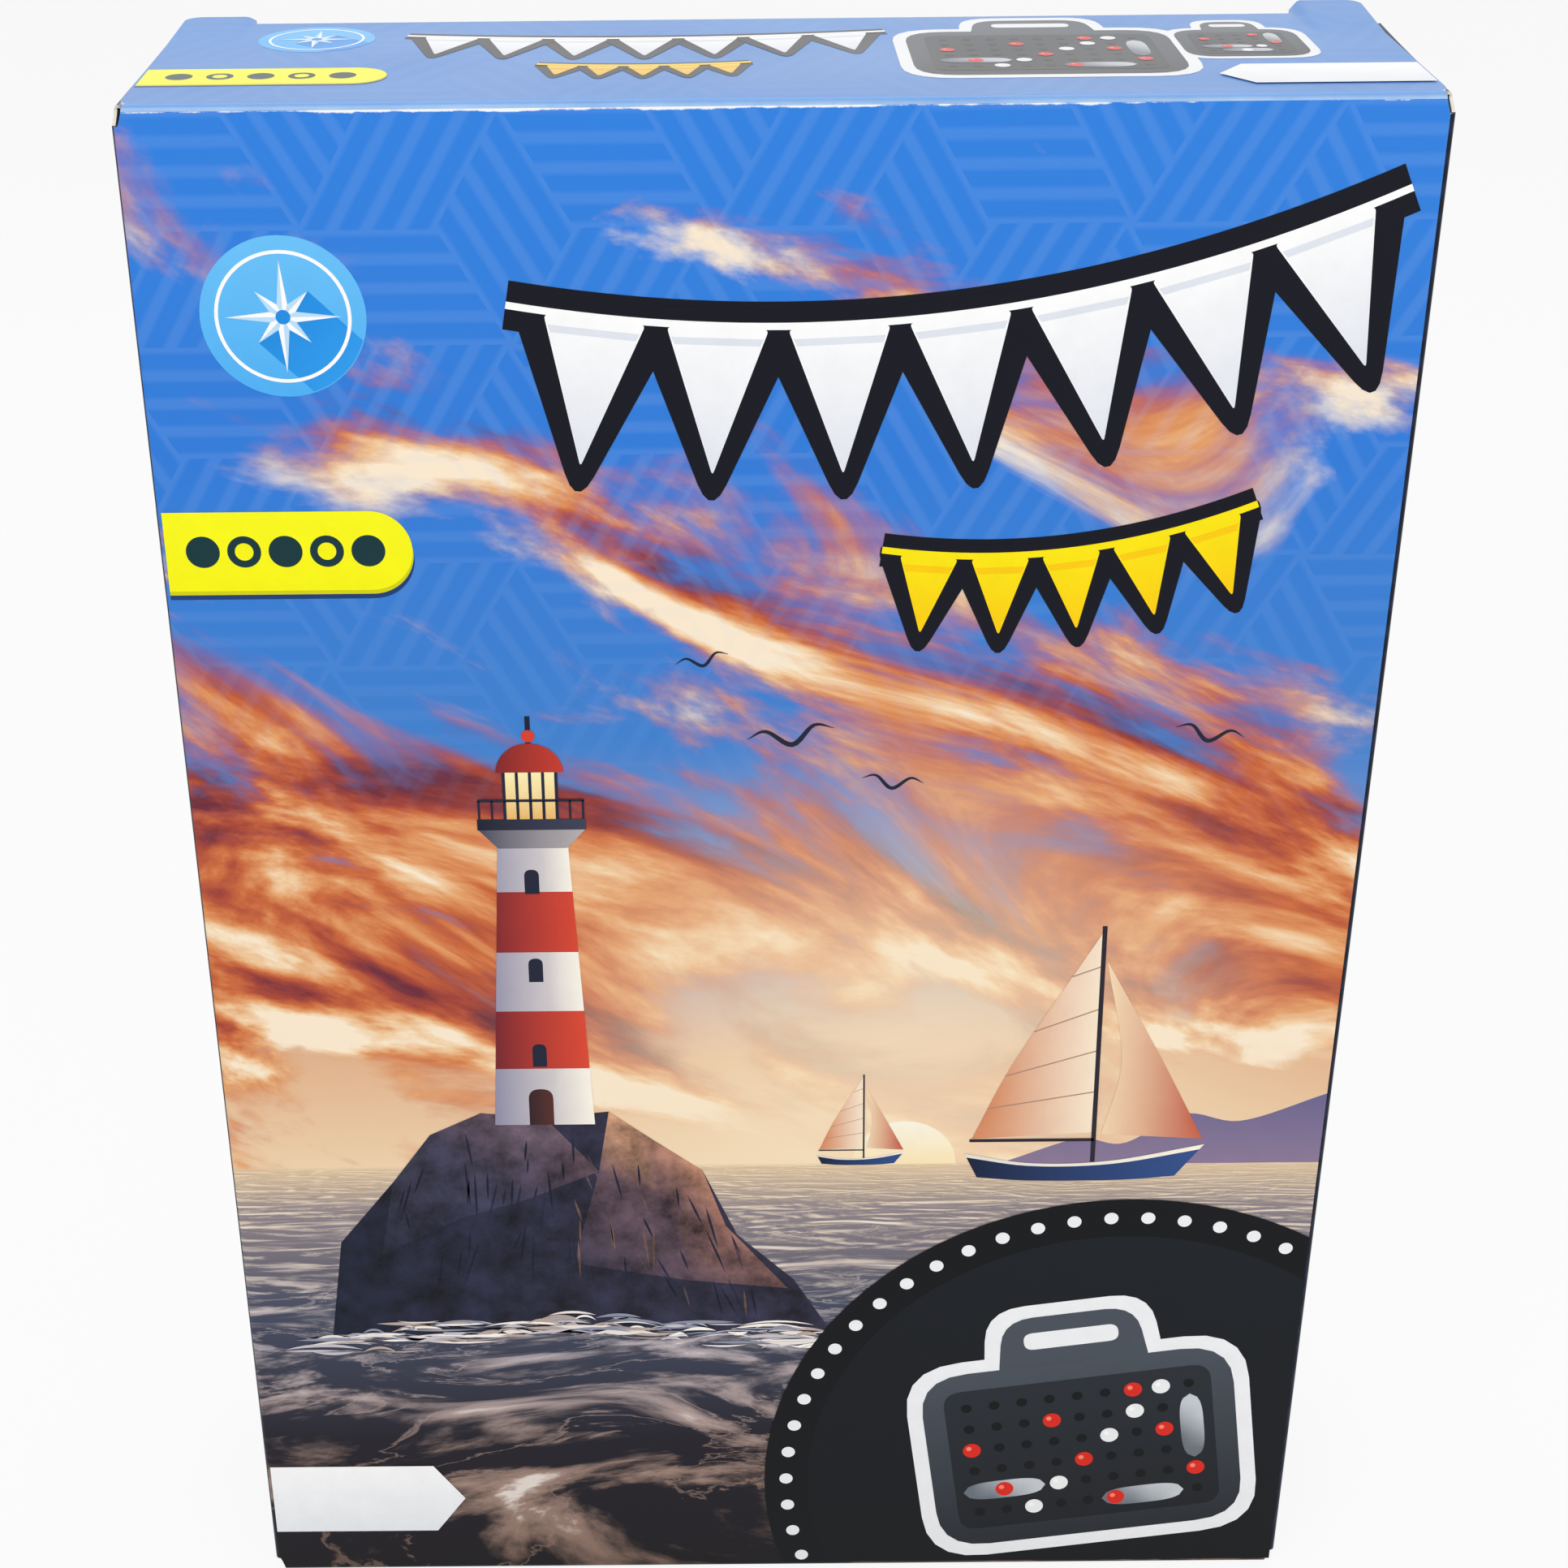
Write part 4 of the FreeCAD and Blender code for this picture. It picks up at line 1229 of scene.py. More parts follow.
@dataclass(frozen=True)
class Patch:
    """One inked shape: a grid of points between two lines, with a colour at each point."""

    points: Points
    colours: Points
    level: float
    closed: bool

    @classmethod
    def ruled(cls, low: Points, high: Points, ink: Ink, level: float, closed: bool = False,
              rows: int = 2) -> "Patch":
        """Shape between two lines: each point is a share of the way from one to the other.

        Args:
            low: First line.
            high: Second line, point for point.
            ink: Colour of the shape.
            level: Layer of the print.
            closed: Whether the lines close on themselves.
            rows: Lines in the grid.

        Returns:
            The shape.
        """
        share = np.linspace(0, 1, rows)[:, None, None]
        points = low * (1 - share) + high * share
        return cls(points, ink.at(points), level, closed)

    @classmethod
    def fan(cls, outline: Sequence[Pair] | Points, ink: Ink, level: float) -> "Patch":
        """Shape inside a closed outline, spread from the outline's middle."""
        rim = np.asarray(outline, float)
        return cls.ruled(np.broadcast_to(rim.mean(0), rim.shape), rim, ink, level, closed=True)

    @classmethod
    def stroke(cls, line: Sequence[Pair] | Points, width: float | Points, ink: Ink, level: float,
               closed: bool = False) -> "Patch":
        """Line with a width: offset to both sides along its own normals.

        Args:
            line: Its middle line.
            width: Its width, one for all or one for each point.
            ink: Colour of the shape.
            level: Layer of the print.
            closed: Whether the line closes on itself.

        Returns:
            The shape.
        """
        spine = np.asarray(line, float)
        way = np.roll(spine, -1, 0) - np.roll(spine, 1, 0) if closed else np.gradient(spine, axis=0)
        half = np.broadcast_to(width, len(spine))[:, None] / 2
        side = unit(pairs(-way[:, 1], way[:, 0])) * half
        return cls.ruled(spine - side, spine + side, ink, level, closed)

    def moved(self, at: Pair, scale: float = 1.0, turn: float = 0.0, lift: float = 0.0) -> "Patch":
        """The same shape scaled, turned, moved and raised.

        Args:
            at: Where its origin goes.
            scale: Its new size, as a share of the old.
            turn: Angle to the left, in degrees.
            lift: Levels to raise it by.

        Returns:
            The new shape.
        """
        c, s = math.cos(math.radians(turn)), math.sin(math.radians(turn))
        points = self.points @ np.array([[c, s], [-s, c]]) * scale + at
        return Patch(points, self.colours, self.level + lift, self.closed)


class Face(Enum):
    """Printed faces of the carton: the name, the way out of it, its right and its up."""

    FRONT = ("front", (0, -1, 0), (1, 0, 0), (0, 0, 1))
    LID = ("lid", (0, 0, 1), (1, 0, 0), (0, 1, 0))
    LEFT = ("left", (-1, 0, 0), (0, -1, 0), (0, 0, 1))
    RIGHT = ("right", (1, 0, 0), (0, 1, 0), (0, 0, 1))
    BACK = ("back", (0, 1, 0), (-1, 0, 0), (0, 0, 1))


@dataclass
class Print:
    """A sheet of motifs laid on one face of the carton, each a thin film of ink above the board."""

    carton: Carton
    face: Face
    finish: bpy.types.Material
    film: float = 0.012
    step: float = 0.012
    clear: float = 0.002
    margin: float = 1.2
    lid_reach: float = 0.5

    def __post_init__(self) -> None:
        """Find the plane of the face, and the lowest and highest corner of its sheet."""
        carton, on_lid = self.carton, self.face is Face.LID
        self.name, *ways = self.face.value
        self.outward, self.right, self.up = (np.array(way, float) for way in ways)
        distance, half = {
            Face.FRONT: (-carton.front, carton.half), Face.BACK: (carton.back, carton.half),
            Face.LEFT: (carton.half, -carton.front), Face.RIGHT: (carton.half, carton.back),
            Face.LID: (carton.height, carton.lid_half + self.lid_reach)}[self.face]
        self.origin = self.outward * distance
        self.edge = half - carton.edge_radius
        levels = (carton.front, carton.ear_rear) if on_lid else (self.margin, carton.height - self.margin)
        self.low, self.high = (-self.edge, levels[0]), (self.edge, levels[1])
        self.body = "top_lid" if on_lid else "carton"
        self.slot = "side_board" if self.face in (Face.LEFT, Face.RIGHT) else "printed_board"

    def lay(self, motif: str, patches: Sequence[Patch]) -> None:
        """Make one motif: every patch becomes a closed film at the height of its level.

        Args:
            motif: Name of the motif.
            patches: Its shapes.
        """
        points, faces, colours, total = [], [], [], 0
        for patch in patches:
            shades = patch.colours.reshape(-1, 4)
            points.append(self._film(patch))
            colours.append(np.concatenate([shades, shades]))
            faces.append(np.concatenate(layered(*patch.points.shape[:2], patch.closed)) + total)
            total += len(points[-1])
        piece = make_piece(f"{self.name}_print_{motif}", np.concatenate(points), np.concatenate(faces),
                           [self.finish], colours=np.concatenate(colours))
        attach(piece, self.body)

    def _film(self, patch: Patch) -> Points:
        """Lay one shape on the sheet, kept within its edges.

        Args:
            patch: The shape.

        Returns:
            Its grid on the film's upper and on its lower side.
        """
        flat = np.clip(patch.points.reshape(-1, 2), self.low, self.high)
        sheet = self.origin + flat[:, :1] * self.right + flat[:, 1:] * self.up
        base = patch.level * self.step
        return np.concatenate([sheet + self.outward * (base + rise) for rise in (self.film, self.clear)])


class Motif(ABC):
    """A printed picture, drawn around an origin of its own in units of its size."""

    size: float = 1.0

    @abstractmethod
    def patches(self) -> list[Patch]:
        """Shapes of the motif, each on its level."""

    def at(self, x: float, z: float, scale: float = 1.0, turn: float = 0.0,
           lift: float = 0.0) -> list[Patch]:
        """Shapes of the motif at a place on the sheet, scaled, turned in degrees and raised."""
        return [part.moved((x, z), scale * self.size, turn, lift) for part in self.patches()]


@dataclass(frozen=True)
class Pennants(Motif):
    """A line of hanging pennants with a thick dark outline."""

    count: int
    width: float
    drop: float
    length: float
    sag: float
    outline: float
    light: str = "#FFFFFF"
    shade: str = "#E3E7F0"
    dark: str = "#0B0D1A"
    side_spread: float = 1.9
    tip_spread: float = 2.2
    corner: float = 0.8
    hem: tuple[Pair, Pair] = ((1.2, -2.6), (0.7, -1.5))
    cord_reach: float = 0.53
    cord_rise: float = 0.4
    cord_width: float = 2.4
    rope_width: float = 1.1

    def patches(self) -> list[Patch]:
        """Hang each pennant square to the cord, which is a shallow parabola.

        Returns:
            The cord, the pennants and the rope.
        """
        share = (np.arange(self.count) + 0.5) / self.count - 0.5
        tilt = np.degrees(np.arctan(8 * self.sag * share / self.length))
        half, spread = self.width / 2, self.side_spread * self.outline
        tip = self.drop + self.tip_spread * self.outline
        corners = [(-half, 0.0), (0.0, -self.drop), (half, 0.0)]
        edge = [(-half - spread, self.outline), (0.0, -tip), (half + spread, self.outline)]
        face = Ink(self.light, self.shade, (0, 0), (0, -self.drop))
        low, high = (np.array([(inset - half, z), (half - inset, z)]) for inset, z in self.hem)
        back = Patch.fan(eased(edge, spread), Ink(self.dark), 1)
        front = [Patch.fan(eased(corners, self.corner), face, 3), Patch.ruled(low, high, Ink(self.shade), 4)]
        cord = self._hung(np.linspace(-self.cord_reach, self.cord_reach, 40)) + (0.0, self.cord_rise)
        hung = []
        for i, place in enumerate(self._hung(share)):
            hung.append(back.moved(place, turn=tilt[i], lift=i % 2))
            hung += [part.moved(place, turn=tilt[i]) for part in front]
        line = Patch.stroke(cord, self.cord_width * self.outline, Ink(self.dark), 0)
        return [line, *hung, Patch.stroke(cord, self.rope_width, Ink(self.light), 5)]

    def _hung(self, share: Points) -> Points:
        """Points of the parabola at shares of its length, from minus to plus a half."""
        return pairs(share * self.length, self.sag * (4 * share ** 2 - 1))


@dataclass(frozen=True)
class CompassBadge(Motif):
    """Round badge with an eight-point compass star and its long flat shadow, in units of its radius."""

    size: float
    ring: float = 0.8
    ring_width: float = 0.045
    points: Triple = (0.7, 0.45, 0.17)
    hub: float = 0.09
    shadow_half: float = 0.45
    shadow_reach: float = 0.985
    diagonal: float = 0.7071
    white: str = "#FFFFFF"
    shaded: str = "#BFE2FB"
    deep: str = "#1F8FE4"

    def patches(self) -> list[Patch]:
        """Star points alternate between long, short and inner radii; half of each point is shaded.

        Returns:
            The disc, its shadow and ring, and the star.
        """
        disc = Patch.fan(circle((0, 0), 1, 56), Ink("#4FB2F7", "#6CC4FB", (0, -1), (0, 1)), 1)
        across = np.linspace(-self.shadow_half, self.shadow_half, 13)[:, None]
        way, side = np.array([[1, -1], [1, 1]]) * self.diagonal
        low = across * side
        high = low + np.sqrt(self.shadow_reach ** 2 - across ** 2) * way
        shadow = Patch.ruled(low, high, Ink(self.deep, "#2E9CEE", (0, 0), tuple(way)), 2)
        ring = Patch.stroke(circle((0, 0), self.ring, 56), self.ring_width, Ink(self.white), 3, closed=True)
        long, short, inner = self.points
        reach = np.tile([long, inner, short, inner], 4)[:, None]
        tips = reach * ways(np.arange(16) * math.pi / 8 + math.pi / 2)
        halves = [
            Patch.fan([(0.0, 0.0), tips[i], tips[i + 1]], Ink(self.shaded), 5) for i in range(0, 16, 2)]
        hub = Patch.fan(circle((0, 0), self.hub, 20), Ink(self.deep), 6)
        return [disc, shadow, ring, Patch.fan(tips, Ink(self.white), 4), *halves, hub]


@dataclass(frozen=True)
class EdgeTag(Motif):
    """Bright tag that runs off the edge, with a row of dots."""

    length: float
    height: float
    dots: int = 5
    way: int = 1
    first_dot: float = 0.9
    dot: float = 0.2
    hole: float = 0.11
    shadow_drop: float = 0.11
    lip_drop: float = 0.05
    inset: Pair = (-0.1, -0.2)

    def _outline(self, shift: float, drop: float) -> tuple[Points, Points]:
        """Run straight from the edge, then round the free end in a half circle.

        Args:
            shift: How far the tag is moved along.
            drop: How far it is moved down, as a share of its height.

        Returns:
            The lower and the upper line.
        """
        h = self.height / 2
        t = np.linspace(0, math.pi / 2, 14)
        x = (np.concatenate([[0.0], self.length - h + h * np.sin(t)]) + shift) * self.way
        y = np.concatenate([[h], h * np.cos(t)])
        return pairs(x, -drop * self.height - y), pairs(x, -drop * self.height + y)

    def patches(self) -> list[Patch]:
        """Lay a shadow, a lip, the tag and its dots, every other one open.

        Returns:
            The shapes, lowest first.
        """
        h = self.height
        bright = Ink("#FAF400", "#FFFF18", (0, -h), (0, h))
        pitch = self.length / (self.dots + 1) * self.way
        places = [((i + self.first_dot) * pitch, 0.0) for i in range(self.dots)]
        return [
            Patch.ruled(*self._outline(0.0, self.shadow_drop), Ink("#1C3E74"), 1),
            Patch.ruled(*self._outline(self.inset[0], self.lip_drop), Ink("#D6D400"), 2),
            Patch.ruled(*self._outline(self.inset[1], 0.0), bright, 3),
            *(Patch.fan(circle(at, self.dot * h, 28), Ink("#10363C"), 4) for at in places),
            *(Patch.fan(circle(at, self.hole * h, 24), Ink("#FBF60A"), 5) for at in places[1::2])]


@dataclass(frozen=True)
class PegBoard(Motif):
    """Small picture of an open peg board with its carrying handle, ships and pegs.

    Its size is the pitch of its holes, and the handle's widths are counted in half boards.
    """

    columns: int
    rows: int
    size: float
    margin: float = 1.1
    halo: float = 0.55
    halo_rounds: Pair = (1.4, 2.2)
    body_round: float = 1.8
    field_inset: float = 0.8
    field_round: float = 0.7
    grip_reach: Pair = (-1.0, 2.2)
    grip_half: Pair = (0.5, 0.42)
    grip_round: float = 1.1
    slot_reach: Pair = (0.75, 1.5)
    slot_half: float = 0.3
    slot_round: float = 0.35
    hole: float = 0.2
    peg: float = 0.33
    shine: float = 0.1
    ship_half: float = 0.42
    ship_end: float = 1.2
    ship_blunt: float = 3.5
    white: str = "#F4F5F7"

    def patches(self) -> list[Patch]:
        """Set a pale edge, the shell and its field, then holes, ships and pegs on a square grid.

        Returns:
            The shapes, lowest first.
        """
        w, h = self.columns / 2 + self.margin, self.rows / 2 + self.margin
        inset = self.field_inset
        body, field = block(-h, h, w), block(inset - h, h - inset, w - inset)
        grip = block(*(h + reach for reach in self.grip_reach), *(half * w for half in self.grip_half))
        slot = block(*(h + reach for reach in self.slot_reach), self.slot_half * w)
        shell = Ink("#23272E", "#4A515B", (0, -h), (0, h))
        dark = Ink("#14171C", "#272C34", (0, -h), (0, h))
        return [
            self._grown(grip, self.halo_rounds[0], 1), self._grown(body, self.halo_rounds[1], 2),
            Patch.fan(eased(grip, self.grip_round), shell, 3),
            Patch.fan(eased(body, self.body_round), shell, 4),
            Patch.fan(eased(slot, self.slot_round), Ink(self.white), 4),
            Patch.fan(eased(field, self.field_round), dark, 5), *self._pegs()]

    def _pegs(self) -> list[Patch]:
        """Fill the field: pegs stand in those holes that simple counting rules pick out.

        Returns:
            The holes, the ships and the pegs with their shines.
        """
        right = self.columns - 1
        middle = np.array([right, self.rows - 1]) / 2
        i, j = (part.ravel() for part in np.meshgrid(np.arange(self.columns), np.arange(self.rows)))
        spots = pairs(i, j) - middle
        red = (3 * i + 5 * j) % 7 == 1
        white = ((2 * i + 7 * j) % 9 == 4) & ~red
        holes = [Patch.fan(circle(spot, self.hole, 10), Ink("#05070A"), 6) for spot in spots]
        ships = [
            self._ship(np.array(ends) - middle)
            for ends in (((0, 1), (2, 1)), ((right - 3, 0), (right - 1, 0)), ((right, 2), (right, 4)))]
        pegs = []
        for mask, tone, shine in ((red, "#DE2A1E", "#FF8A70"), (white, "#F2F3F4", "#FFFFFF")):
            for spot in spots[mask]:
                pegs.append(Patch.fan(circle(spot, self.peg, 16), Ink(tone), 8))
                pegs.append(Patch.fan(circle(spot + (-self.shine, self.shine), self.shine, 8), Ink(shine), 9))
        return [*holes, *ships, *pegs]

    def _ship(self, ends: Points) -> Patch:
        """Draw a long hull seen from above: its half width is a blunt ellipse along its length.

        Args:
            ends: Its first and last peg hole.

        Returns:
            The hull.
        """
        half, middle = self.ship_half, ends.mean(0)
        t = np.linspace(-1, 1, 17)[:, None]
        way = unit(ends[1] - ends[0])
        reach = np.linalg.norm(ends[1] - ends[0]) / 2 + self.ship_end * half
        side = np.array([-way[1], way[0]]) * half * np.sqrt(1 - np.abs(t) ** self.ship_blunt)
        spine = middle + t * way * reach
        tones = Ink("#6C737C", "#C9CED4", tuple(middle - half), tuple(middle + half))
        return Patch.ruled(spine - side, spine + side, tones, 7)

    def _grown(self, corners: Points, radius: float, level: int) -> Patch:
        """Outline pushed out on all sides, for a pale line around a shape."""
        edge = np.sign(corners - corners.mean(0)) * self.halo
        return Patch.fan(eased(corners + edge, radius), Ink(self.white), level)


@dataclass(frozen=True)
class Lighthouse(Motif):
    """Banded lighthouse, lit from the right."""

    foot: float = 8.6
    neck: float = 5.6
    tower: float = 58.0
    bands: int = 5
    lit_share: float = 0.25
    windows: Triple = (12.0, 29.0, 46.0)
    window_height: float = 4.6
    door_height: float = 7.4
    gallery: float = 3.0
    gallery_rise: float = 2.0
    rail_rise: float = 5.4
    glass_half: float = 4.2
    glass_top: float = 10.5
    dome: Pair = (5.4, 5.2)
    corbel: float = 3.4
    lamp_height: float = 9.0
    finial: Pair = (15.4, 20.5)
    finial_width: float = 0.8
    ball: Pair = (17.0, 1.1)
    bar_width: float = 0.5
    post_width: float = 0.35
    iron: str = "#20243A"
    roof: str = "#D9412E"

    def _walls(self, low: float, high: float, share: Pair) -> tuple[Points, Points]:
        """Two lines up the tower, which narrows in a straight line.

        Args:
            low: Height at which they start.
            high: Height at which they end.
            share: Their places, as shares of the half width.

        Returns:
            The first and the second line.
        """
        z = np.array([low, high])
        half = self.foot + (self.neck - self.foot) * z / self.tower
        return pairs(share[0] * half, z), pairs(share[1] * half, z)

    def patches(self) -> list[Patch]:
        """Blend each tone across the tower, from its shaded to its lit side.

        Returns:
            The tower and its lantern.
        """
        lit = ((-self.foot, 0.0), (self.foot, 0.0))
        shade = self._walls(0.0, self.tower, (-1.0, self.lit_share))
        light = self._walls(0.0, self.tower, (self.lit_share, 1.0))
        parts = [
            Patch.ruled(*shade, Ink("#8F8DA8", "#F2EAE2", *lit), 4),
            Patch.ruled(*light, Ink("#F2EAE2", "#FFF8EA", *lit), 4)]
        step = self.tower / self.bands
        for k in range(1, self.bands, 2):
            band = self._walls(k * step, (k + 1) * step, (-1.0, 1.0))
            parts.append(Patch.ruled(*band, Ink("#6E1F2C", "#E24A32", *lit), 5))
        for at in self.windows:
            window = eased(block(at, at + self.window_height, 1.2, middle=-0.4), [0.1, 0.1, 1.2, 1.2])
            parts.append(Patch.fan(window, Ink("#1C2236"), 6))
        door = eased(block(0.0, self.door_height, 2.1, middle=-0.5), [0.05, 0.05, 2.0, 2.0])
        parts.append(Patch.fan(door, Ink("#2A1B22", "#5A2E2A", (-3, 0), (2, 0)), 6))
        return parts + self._lantern(lit)

    def _lantern(self, lit: tuple[Pair, Pair]) -> list[Patch]:
        """Draw a gallery with a railing, a glazed lamp room, and a half-round roof with a finial.

        Args:
            lit: Points on the shaded and on the lit side.

        Returns:
            The shapes, lowest first.
        """
        top, wide = self.tower, self.neck + self.gallery
        floor, rail, eaves = top + self.gallery_rise, top + self.rail_rise, top + self.glass_top
        t = np.linspace(0, math.pi, 24)
        x, rise = self.dome[0] * np.cos(t), self.dome[1] * np.sin(t)
        iron = Ink(self.iron)
        bars = np.linspace(-self.glass_half, self.glass_half, 5)
        posts = np.linspace(0.2 - wide, wide - 0.2, 9)
        return [
            Patch.fan(block(top - self.corbel, top, self.neck, wide), Ink("#43465C", "#B9B2B4", *lit), 5),
            Patch.fan(block(top, floor, wide + 0.2), Ink("#191D2E", "#3E4258", *lit), 6),
            Patch.fan(block(floor, eaves, self.glass_half),
                      Ink("#E8A23A", "#FFF3B8", (0, top), (0, top + self.lamp_height)), 5),
            Patch.ruled(pairs(x, eaves), pairs(x, eaves + rise), Ink("#5C1824", self.roof, *lit), 6),
            Patch.stroke([(0, top + z) for z in self.finial], self.finial_width, Ink("#191D2E"), 5),
            Patch.fan(circle((0, top + self.ball[0]), self.ball[1], 16), Ink(self.roof), 6),
            *(Patch.stroke([(bar, floor), (bar, eaves)], self.bar_width, iron, 6) for bar in bars),
            *(Patch.stroke([(post, floor), (post, rail)], self.post_width, iron, 7) for post in posts),
            Patch.stroke([(-wide, rail), (wide, rail)], self.bar_width, iron, 7)]


@dataclass(frozen=True)
class Rock(Motif):
    """A rock under the tower: one dark mass and facets, lighter where they face the low sun."""

    seed: int = 5
    cracks: int = 70
    crack_reach: Pair = (-26, 36)
    crack_length: Pair = (1.5, 5.0)
    crack_width: float = 0.4
    crack_drop: Pair = (4.0, 26.0)
    crack_fall: float = 0.9
    crack_lean: Triple = (0.25, 4.0, 0.12)
    ledge: Pair = (-2.0, 12.0)
    lit_from: float = 4.0
    hairline: float = 0.02
    foot: float = 42.0
    mass: tuple[Pair, ...] = (
        (-40, -46), (-37, -25), (-27, -12), (-20, -2), (-11, 2.5), (0, 1.4), (11, 2.6), (18, -3),
        (27, -10), (33, -24), (43, -34), (50, -46))
    facets: tuple[tuple[str, str, tuple[Pair, ...]], ...] = (
        ("#7C5A55", "#C79673", ((11, 2.6), (18, -3), (20, -16), (9, -10))),
        ("#5A4650", "#A5765F", ((18, -3), (27, -10), (31, -22), (20, -16))),
        ("#4A3E4C", "#8A6156", ((20, -16), (31, -22), (42, -36), (24, -34))),
        ("#3B3648", "#5E4D5A", ((-11, 2.5), (0, 1.4), (9, -10), (-4, -16))),
        ("#2C2D42", "#453E50", ((-20, -2), (-11, 2.5), (-4, -16), (-16, -20))),
        ("#23263A", "#383649", ((-27, -12), (-20, -2), (-16, -20), (-30, -28))),
        ("#332F42", "#5F4A52", ((9, -10), (20, -16), (24, -34), (4, -30))))
    crack_tones: tuple[str, ...] = ("#12162A", "#1C2036", "#6A5048", "#54444C")

    def patches(self) -> list[Patch]:
        """Blend each facet from its lowest to its highest side, then scatter tapering cracks.

        A crack starts lower the farther it is from the tower, and leans away from it.

        Returns:
            The mass, the facets and the cracks.
        """
        parts = [Patch.fan(self.mass, Ink("#161B2E", "#2E2C40", (-30, -40), (30, 0)), 1)]
        for dark, pale, corners in self.facets:
            parts.append(Patch.fan(corners, Ink(dark, pale, corners[3], corners[1]), 2))
        draw = np.random.default_rng(self.seed)
        t = np.linspace(-1, 1, 7)
        width = self.crack_width * (1 - t ** 2) + self.hairline
        least, scatter = self.crack_drop
        slant, stray, share = self.crack_lean
        for k in range(self.cracks):
            x = draw.uniform(*self.crack_reach)
            beyond = max(abs(x - self.ledge[0]) - self.ledge[1], 0)
            drop = least + self.crack_fall * beyond + draw.uniform(0, scatter)
            lean = slant * x + draw.normal(0, stray)
            length = draw.uniform(*self.crack_length)
            line = pairs(x + t * lean * share, -min(drop, self.foot - length) - t * length)
            tone = self.crack_tones[draw.integers(len(self.crack_tones)) if x > self.lit_from else k % 2]
            parts.append(Patch.stroke(line, width, Ink(tone), 3 + 0.5 * (k % 3)))
        return parts


@dataclass(frozen=True)
class SailBoat(Motif):
    """Sloop under two sails, in units of its length."""

    size: float = 34.0
    seams: tuple[int, ...] = (4, 8, 12, 16)
    mast_width: float = 0.02
    boom_width: float = 0.016
    seam_width: float = 0.006
    stripe: float = 0.16
    wood: str = "#2A2430"

    def patches(self) -> list[Patch]:
        """Span the hull from waterline to sheer, and each sail from its straight to its full edge.

        Returns:
            The hull, the sails and their spars.
        """
        sheer = smooth([(-0.5, 0.13), (-0.2, 0.075), (0.15, 0.085), (0.56, 0.17)], 24)
        water = smooth([(-0.44, 0.0), (-0.2, -0.02), (0.2, -0.02), (0.44, 0.0)], 24)
        luff = smooth([(0.055, 0.24), (0.052, 0.75), (0.045, 1.26)], 20)
        leech = smooth([(-0.47, 0.21), (-0.3, 0.62), (0.04, 1.26)], 20)
        stay = smooth([(0.55, 0.2), (0.32, 0.66), (0.075, 1.12)], 20)
        foot = smooth([(0.1, 0.23), (0.165, 0.62), (0.072, 1.12)], 20)
        upper = sheer + (water - sheer) * self.stripe
        hull = ((-0.5, 0), (0.5, 0))
        seams = [(leech[k], luff[k]) for k in self.seams]
        return [
            Patch.ruled(water, sheer, Ink("#101B38", "#31508C", *hull), 4),
            Patch.ruled(upper, sheer, Ink("#E8E4DC", "#FFF6E4", *hull), 5),
            Patch.ruled(leech, luff, Ink("#D98A5E", "#FFF1D8", (-0.4, 0), (0.1, 0)), 4, rows=4),
            Patch.ruled(foot, stay, Ink("#F6D9B4", "#C7624A", (0.1, 0), (0.5, 0)), 4, rows=4),
            Patch.stroke([(0.07, 0.08), (0.05, 1.3)], self.mast_width, Ink(self.wood), 5),
            Patch.stroke([(-0.48, 0.2), (0.07, 0.2)], self.boom_width, Ink(self.wood), 5),
            *(Patch.stroke(seam, self.seam_width, Ink("#B08A78"), 5) for seam in seams)]


@dataclass(frozen=True)
class Swell(Motif):
    """One line of waves across the print: a trochoid, so crests are sharper than troughs."""

    level: float
    height: float
    length: float
    phase: float
    crest_ink: str
    deep_ink: str
    depth: float
    layer: int
    edge: float = 94.1
    points: int = 260
    steepness: float = 0.67
    sway: Pair = (0.35, 0.37)
    foot: float = 0.2
    blend_rise: float = 0.3
    foam_width: float = 0.17
    foam_wave: Triple = (0.6, 0.4, 0.19)
    foam_end: float = 1.1
    foam: tuple[tuple[float, str], ...] = ((0.12, "#F3EEE6"), (0.55, "#9DB9DE"), (0.95, "#6E93C6"))

    def _crest(self) -> Points:
        """Roll points on circles: sideways by their sine and upwards by their cosine.

        The line starts and ends one wave beyond the sheet and is then read off between its edges.

        Returns:
            The crest line.
        """
        reach = self.edge + self.length
        rolled = np.linspace(-reach, reach, 2 * self.points)
        t = 2 * math.pi * rolled / self.length + self.phase
        roll = 1 + self.sway[0] * np.sin(self.sway[1] * t + 2 * self.phase)
        side = rolled - self.steepness * self.height * np.sin(t) * roll
        x = np.linspace(-self.edge, self.edge, self.points)
        return pairs(x, self.level + 0.5 * np.interp(x, side, self.height * np.cos(t) * roll))

    def patches(self) -> list[Patch]:
        """Span the wave's face from depth to crest, with lines of foam that thin out down its face.

        Returns:
            The face and its foam.
        """
        crest = self._crest()
        low = pairs(crest[:, 0], np.maximum(crest[:, 1] - self.depth, self.foot))
        tones = Ink(self.deep_ink, self.crest_ink,
                    (0, self.level - self.depth), (0, self.level + self.blend_rise * self.height))
        mean, swing, pace = self.foam_wave
        wave = mean + swing * np.sin(pace * crest[:, 0] + self.phase)
        width = self.foam_width * self.height * wave
        return [
            Patch.ruled(low, crest, tones, self.layer, rows=5),
            *(Patch.stroke(crest - (0.0, drop * self.height), width * (self.foam_end - drop), Ink(tone),
                           self.layer + 1) for drop, tone in self.foam)]


